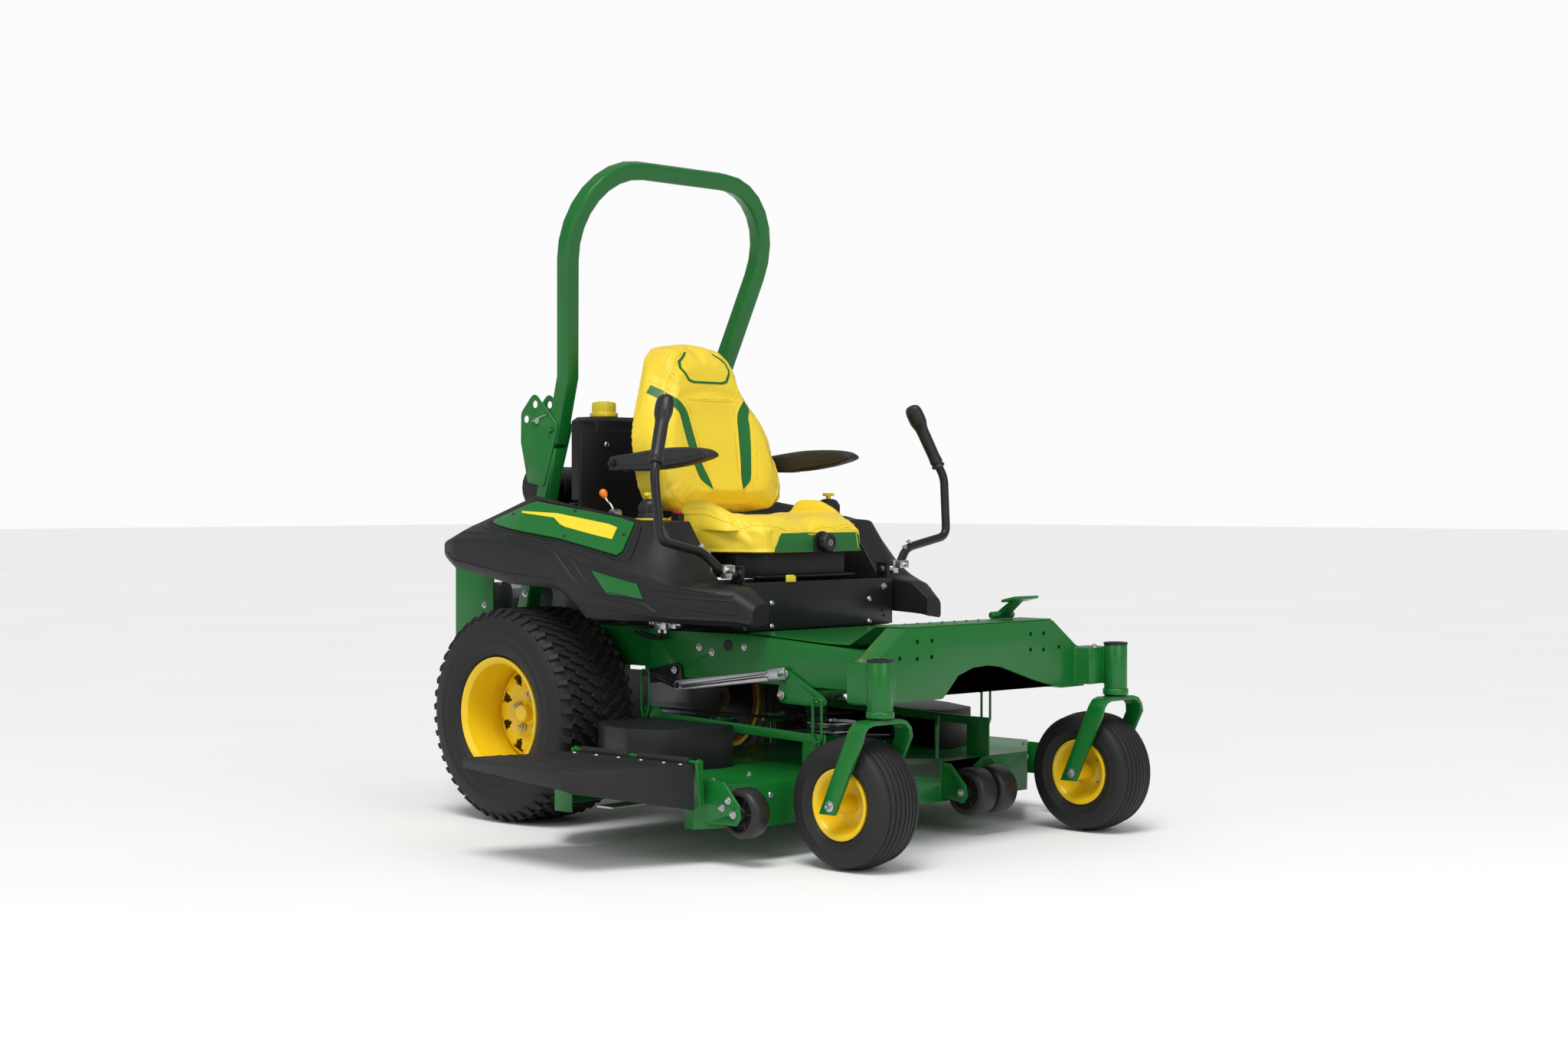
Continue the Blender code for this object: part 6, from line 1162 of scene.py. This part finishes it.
def boltOn(bm, node, spot, way, across=0.013, washer=True, dome=False):
    hit, normal = seatOn(node, spot, way)
    if hit is None:
        print("no skin for a bolt on", node, [round(c, 3) for c in spot])
    elif dome:
        domeHead(bm, hit, normal, across)
    else:
        hexHead(bm, hit, normal, across, washer)


def frameFittings():
    bolts, dark, black, yellow, green = (bmesh.new() for _ in range(5))
    for side in (1, -1):
        inward = (0, -side, 0)
        # the big pivot bolt near the beam, on its own round boss
        hit, normal = seatOn("frame_rails", (1.15, side * 0.35, 0.471), inward)
        rod(green, hit - normal * 0.001, normal, 0.026, 0.0045, 40, 0.0012)
        hexHead(bolts, hit + normal * 0.003, normal, 0.022)
        boltOn(bolts, "frame_rails", (0.735, side * 0.35, 0.52), inward, 0.012)
        for x, z in ((0.56, 0.512), (0.61, 0.5), (0.33, 0.52), (-0.43, 0.5), (-0.5, 0.5)):
            boltOn(bolts, "frame_rails", (x, side * 0.35, z), inward, 0.013)
        # round black bush where the hoses pass through
        hit, normal = seatOn("frame_rails", (0.673, side * 0.35, 0.522), inward)
        lathe(black, [(0.004, 0), (0.016, 0), (0.016, 0.002), (0.012, 0.0036), (0.006, 0.0036), (0.004, 0.002)],
              hit - normal * 0.0005, normal, 36, closed=True)
        # barrel collar and top seal
        spot = (1.3746, side * 0.4886, 0)
        lathe(black, [(0.0205, 0.519), (0.0325, 0.519), (0.0335, 0.52), (0.0335, 0.524), (0.032, 0.5252),
                      (0.0205, 0.5252)], spot, (0, 0, 1), 48, closed=True)
        lathe(green, [(0.0318, 0.3815), (0.0348, 0.3815), (0.0352, 0.383), (0.0352, 0.396), (0.034, 0.3975),
                      (0.0318, 0.3975)], spot, (0, 0, 1), 48, closed=True)
        for x, y in ((1.262, 0.43), (1.345, 0.43)):
            boltOn(bolts, "front_beam", (x, side * y, 0.6), (0, 0, -1), 0.013)
        # the dust shield inside each drive wheel
        lathe(black, [(0.04, 0), (0.135, 0), (0.1385, 0.0012), (0.1385, 0.003), (0.135, 0.004), (0.04, 0.004)],
              (0, side * 0.3155, 0.305), (0, side, 0), 72, closed=True)
        # square punched holes in the face of the beam, drawn as thin near-black plates: painted shade where the holes
        # are
        for y, z in ((0.205, 0.556), (0.205, 0.514), (0.262, 0.556), (0.262, 0.512), (0.33, 0.516)):
            hit, normal = seatOn("front_beam", (1.5, side * y, z), (-1, 0, 0))
            if hit is not None:
                block(dark, (hit.x - 0.0004, hit.x + 0.0004), (hit.y - 0.0048, hit.y + 0.0048),
                      (hit.z - 0.0048, hit.z + 0.0048))
        # fold plates: pivot bolt, stop pins with their clips
        post = "rops_post_left" if side > 0 else "rops_post_right"
        for x, z, across in ((-0.053, 1.171, 0.014), (-0.109, 1.15, 0.011), (-0.033, 1.075, 0.013),
                             (-0.17, 0.64, 0.013)):
            boltOn(bolts, post, (x, side * 0.42, z), inward, across)
        hit, normal = seatOn(post, (-0.08, side * 0.42, 1.16), inward)
        if hit is not None:
            clip = [hit + Vector((0.018, 0, 0.006)) + normal * 0.006, hit + Vector((0.0, 0, 0.001)) + normal * 0.009,
                    hit + Vector((-0.024, 0, -0.006)) + normal * 0.007, hit + Vector((-0.044, 0, -0.012)) + normal * 0.007]
            tube(bolts, smoothLine(clip, 5), 0.0018, 3)
        # silver fittings and black hoses below the pod
        face = side * 0.3203
        block(bolts, (0.404, 0.452), sorted((face, face + side * 0.026)), (0.556, 0.588), 0.0018)
        block(bolts, (0.458, 0.486), sorted((face, face + side * 0.02)), (0.56, 0.582), 0.0016)
        rod(bolts, (0.372, face + side * 0.013, 0.574), (1, 0, 0), 0.005, 0.13, 20, 0.0006)
        for x in (0.38, 0.392, 0.49, 0.498):
            rod(bolts, (x, face + side * 0.013, 0.574), (1, 0, 0), 0.0098, 0.0075, 6, 0.0008)
        for x in (0.416, 0.44):
            rod(bolts, (x, face + side * 0.013, 0.546), (0, 0, 1), 0.0072, 0.012, 6, 0.0008)
            tube(black, smoothLine([(x, face + side * 0.013, 0.549), (x, face + side * 0.012, 0.538),
                                    (x - 0.02, face + side * 0.009, 0.531), (x - 0.06, face + side * 0.006, 0.534),
                                    (x - 0.11, face + side * 0.005, 0.545)], 6), 0.005, 4)
        hexHead(bolts, (0.427, face + side * 0.0255, 0.572), (0, side, 0), 0.012)
        hexHead(bolts, (0.471, face + side * 0.0195, 0.571), (0, side, 0), 0.009)
        # seat base bolts
        for z in (0.634, 0.57):
            boltOn(bolts, "seat_base", (0.8, side * 0.2, z), (-1, 0, 0), 0.0085, dome=True)
    boltOn(bolts, "seat_base", (0.8, 0.262, 0.668), (-1, 0, 0), 0.0125)
    # painted shade for small holes in the seat base, drawn as thin near-black discs
    for y, z in ((-0.255, 0.6), (0.255, 0.6), (-0.255, 0.64), (0.262, 0.585)):
        hit, normal = seatOn("seat_base", (0.8, y, z), (-1, 0, 0))
        if hit is not None:
            rod(dark, hit - normal * 0.0003, normal, 0.004, 0.0006, 20)
    # folded lip and a row of small screws along the top of the front panel
    for y in (-0.205, -0.15, 0.06, 0.115, 0.205):
        boltOn(bolts, "seat_base", (0.7, y, 0.8), (0, 0, -1), 0.0045, dome=True)
    # the slide latch
    edge = [(-0.108, 0.6905), (-0.108, 0.7035), (-0.112, 0.7085), (-0.12, 0.7105), (-0.146, 0.7105), (-0.146, 0.6905)]
    plate(yellow, edge, "x", 0.7224, 0.7262, 0.0012)
    # raised grip bumps over the top of the beam
    for k in range(9):
        for j in range(3):
            hit, normal = seatOn("foot_platform", (1.165 + 0.04 * j, -0.2 + 0.05 * k, 0.7), (0, 0, -1))
            if hit is not None and normal.z > 0.8 and not (0.12 < hit.y < 0.28):
                domeHead(green, hit, normal, 0.0045)
    settle("frame_bolts", bolts, "brightSteel", "mower", (), 40)
    # painted shade: the near-black plates and discs that stand for the holes
    settle("frame_hole_shade", dark, "holeShade", "mower", (), 40)
    settle("frame_seals", black, "blackPlastic", "mower", (), 40)
    settle("frame_bosses", green, "greenPaint", "mower", (), 40)
    settle("slide_latch", yellow, "stripeYellow", "mower", (), 40)


def deckFittings():
    bolts, ribs = bmesh.new(), bmesh.new()
    for x, z in ((1.085, 0.137), (1.062, 0.17), (1.04, 0.15)):
        boltOn(bolts, "deck_shell", (x, -0.95, z), (0, 1, 0), 0.013)
    boltOn(bolts, "deck_shell", (1.03, 0.5, 0.137), (0, 1, 0), 0.013)
    for y, way in ((0.0, 1), (0.42, -1)):
        boltOn(bolts, "deck_shell", (1.13, y - way * 0.1, 0.121), (0, way, 0), 0.014)
    # bolts that hold the belt covers and the housings
    for side in (1, -1):
        for x, y in ((0.43, 0.34), (0.64, 0.345), (0.9, 0.48), (0.93, 0.64)):
            boltOn(bolts, "deck_shell", (x, 0.0125 + side * y, 0.75), (0, 0, -1), 0.012)
    for y in (-0.55, -0.3, -0.05, 0.35, 0.6):
        boltOn(bolts, "deck_shell", (1.3, y, 0.17), (-1, 0, 0), 0.008, dome=True)
    settle("deck_bolts", bolts, "brightSteel", "deck", (), 40)
    # the chute's hinge flange, rivets and stiffening ribs
    rivets = bmesh.new()
    tree = skins["discharge_chute"]
    on = lambda x, y, lift=0.0: skinSpot(tree, (x, y, 0.4), (0, 0, -1), lift, 0.3)
    for x in (0.475, 0.56, 0.645, 0.73, 0.815, 0.9, 0.96):
        hit = on(x, -0.772)
        if hit:
            domeHead(rivets, hit, (0, 0, 1), 0.0065)
    for y in (-0.8, -0.93, -1.06):
        line = [p for p in (on(0.462 + 0.504 * k / 24, y, -0.0008) for k in range(25)) if p]
        if len(line) > 2:
            tube(ribs, line, 0.0026, 3)
    for x in (0.475, 0.64, 0.805, 0.955):
        line = [p for p in (on(x, -0.805 - 0.25 * k / 14, -0.0008) for k in range(15)) if p]
        if len(line) > 2:
            tube(ribs, line, 0.0022, 3)
    settle("chute_rivets", rivets, "brightSteel", "chute", (), 40)
    settle("chute_ribs", ribs, "chuteRubber", "chute", (), 40)


def liftFittings():
    silver = bmesh.new()
    for side in (1, -1):
        boltOn(silver, "lift_front", (0.89, side * 0.42, 0.4), (0, -side, 0), 0.015)
        boltOn(silver, "lift_rear", (0.478, side * 0.42, 0.446), (0, -side, 0), 0.013)
    settle("bellcrank_bolts", silver, "brightSteel", "front_bellcranks", (), 40)
    # round rods and square clevises over the flat links
    rods = bmesh.new()
    for side in (1, -1):
        rear, front = Vector((0.49, side * 0.3368, 0.4)), Vector((0.897, side * 0.3368, 0.459))
        along = (front - rear).normalized()
        rod(rods, rear + along * 0.02, along, 0.0052, (front - rear).length - 0.055, 24, 0.0006)
        clevis = bmesh.new()
        block(clevis, (-0.0068, 0.0068), (-0.015, 0.015), (-0.054, 0.01), 0.0018)
        rod(clevis, (0, 0, -0.062), (0, 0, 1), 0.0085, 0.011, 6, 0.0008)
        bmesh.ops.transform(clevis, matrix=facing(front, along), verts=clevis.verts)
        addTo(rods, clevis)
        hexHead(rods, front + Vector((0, side * 0.0066, 0)) - along * 0.006, (0, side, 0), 0.01)
    settle("link_rods", rods, "brightSteel", "links", (), 40)


def rearFittings():
    bolts, dark = bmesh.new(), bmesh.new()
    for y in (-0.19, 0.19):
        for z in (0.47, 0.6, 0.76):
            boltOn(bolts, "rear_guard", (-0.36 if z > 0.5 else -0.4, y * 3, z), (0, -y, 0), 0.012)
    for x, y in ((-0.42, 0.15), (-0.42, -0.15), (-0.19, 0.15), (-0.19, -0.15)):
        boltOn(bolts, "engine_covers", (x, y, 1.2), (0, 0, -1), 0.009)
    for y in (-0.17, 0.17):
        for z in (0.72, 1.08):
            boltOn(bolts, "oil_tank", (0.3, y, z), (-1, 0, 0), 0.009, dome=True)
    for side in (1, -1):
        for x, z in ((-0.06, 0.3), (0.06, 0.3), (0.0, 0.37)):
            boltOn(bolts, "transmissions", (x, 0.0, z + 0.2), (0, 0, -1), 0.011)
    settle("rear_bolts", bolts, "brightSteel", "mower", (), 40)
    # cooling slots in the engine's shroud and round holes in its back, drawn as thin near-black plates and discs:
    # painted shade where the openings are
    tree = skins["engine_covers"]
    for side in (1, -1):
        for k in range(9):
            x = -0.4 + 0.026 * k
            low, high = skinSpot(tree, (x, side * 0.5, 0.745), (0, -side, 0),
                                 0.0), skinSpot(tree, (x, side * 0.5, 0.835), (0, -side, 0), 0.0)
            if low and high:
                block(dark, (x - 0.0045, x + 0.0045), sorted((low.y - side * 0.0006, low.y + side * 0.0006)),
                      (0.745, 0.835), 0.0002, 1)
    for k in range(7):
        for j in range(10):
            y, z = -0.099 + 0.022 * j, 0.715 + 0.02 * k
            hit = skinSpot(tree, (-1.2, y, z), (1, 0, 0), 0.0)
            if hit and hit.x < -0.4:
                rod(dark, hit - Vector((0.0003, 0, 0)), (1, 0, 0), 0.0055, 0.0006, 8)
    settle("engine_slot_shade", dark, "holeShade", "mower", (), 40)


def consoleLines():
    for label, side in sides.items():
        tree = BVHTree.FromObject(bpy.data.objects[f"pod_{label}_skin"], bpy.context.evaluated_depsgraph_get())
        lines = bmesh.new()
        way = (0, -side, 0)
        on = lambda spots, lift: [p - home for p in (skinSpot(tree, Vector((x, 0, z)) + home, way, lift) for x, _,
                                                     z in smoothLine([(x, 0, z) for x, z in spots], 8)) if p]
        scallop = [(0.392, 0.852), (0.384, 0.822), (0.386, 0.79), (0.404, 0.768), (0.438, 0.756), (0.5, 0.748)]
        slit = [(0.466, 0.842), (0.474, 0.812), (0.48, 0.78), (0.482, 0.752)]
        # the slit is drawn as a thin near-black line: painted shade in the groove
        for spots, radius in ((slit, 0.0013),):
            tube(lines, on(spots, 0.0002), radius, 3)
        settle(f"pod_slit_shade_{label}", lines, "holeShade", "mower", (), 40)
        swell = bmesh.new()
        tube(swell, on(scallop, -0.002), 0.0042, 3)
        settle(f"pod_scallop_{label}", swell, "podPlastic", "mower", (), 40)


frameFittings()
deckFittings()
liftFittings()
rearFittings()
consoleLines()
print("fittings made")


# ---- floor, light and camera ----
studio = {"eye": (4.8232, -4.6755, 0.9234), "turn": 0.7667, "dip": 0.0105, "lens": 54.363,
          "sun": 2.0, "fill": 60, "side": 45, "world": 0.4}


def setStage():
    low = min(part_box("drive_tyre_left")[0].z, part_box("caster_tyre_left")[0].z)
    ground = bmesh.new()
    bmesh.ops.create_grid(ground, x_segments=2, y_segments=2, size=60, matrix=Matrix.Translation((0, 0, low - 0.0005)))
    data = bpy.data.meshes.new("floor")
    ground.to_mesh(data)
    ground.free()
    floor = bpy.data.objects.new("floor", data)
    bpy.context.scene.collection.objects.link(floor)
    data.materials.append(looks["paleFloor"])


def areaLight(name, spot, target, size, power):
    data = bpy.data.lights.new(name, "AREA")
    data.shape, data.size, data.energy = "SQUARE", size, power
    lamp = bpy.data.objects.new(name, data)
    bpy.context.scene.collection.objects.link(lamp)
    lamp.matrix_world = facing(spot, Vector(spot) - Vector(target))


finish("paleFloor", (0.9, 0.9, 0.9), (0.92, 0.92, 0.92), 0.85, 0.05, patch=0.8, grain=60, depth=0.02)
setStage()
sky = bpy.data.lights.new("soft_sun", "SUN")
sky.energy, sky.angle = studio["sun"], math.radians(28)
sun = bpy.data.objects.new("soft_sun", sky)
bpy.context.scene.collection.objects.link(sun)
sun.matrix_world = facing((0, 0, 5), (0.35, -0.55, 1.25))
areaLight("front_soft", (5.2, -1.0, 2.6), (0, 0, 0.6), 3.0, studio["fill"])
areaLight("side_soft", (0.5, -5.5, 2.8), (0, 0, 0.6), 3.2, studio["side"])
world = bpy.data.worlds.new("studio")
world.use_nodes = True
air = world.node_tree
air.nodes["Background"].inputs["Color"].default_value = (1, 1, 1, 1)
air.nodes["Background"].inputs["Strength"].default_value = studio["world"]
plain = air.nodes.new("ShaderNodeBackground")
plain.inputs["Color"].default_value, plain.inputs["Strength"].default_value = (1, 1, 1, 1), 0.97
seen, pick = air.nodes.new("ShaderNodeLightPath"), air.nodes.new("ShaderNodeMixShader")
air.links.new(seen.outputs["Is Camera Ray"], pick.inputs[0])
air.links.new(air.nodes["Background"].outputs[0], pick.inputs[1])
air.links.new(plain.outputs[0], pick.inputs[2])
air.links.new(pick.outputs[0], air.nodes["World Output"].inputs["Surface"])
bpy.context.scene.world = world
bpy.context.scene.view_settings.view_transform = "Standard"

lens = bpy.data.cameras.new("camera")
lens.sensor_width, lens.lens, lens.clip_end = 36, studio["lens"], 200
camera = bpy.data.objects.new("camera", lens)
bpy.context.scene.collection.objects.link(camera)
a, p = studio["turn"], studio["dip"]
look = Vector((-math.sin(a) * math.cos(p), math.cos(a) * math.cos(p), -math.sin(p)))
camera.matrix_world = Matrix.Translation(studio["eye"]) @ look.to_track_quat("-Z", "Y").to_matrix().to_4x4()
bpy.context.scene.camera = camera
print("stage set")

bpy.context.view_layer.update()
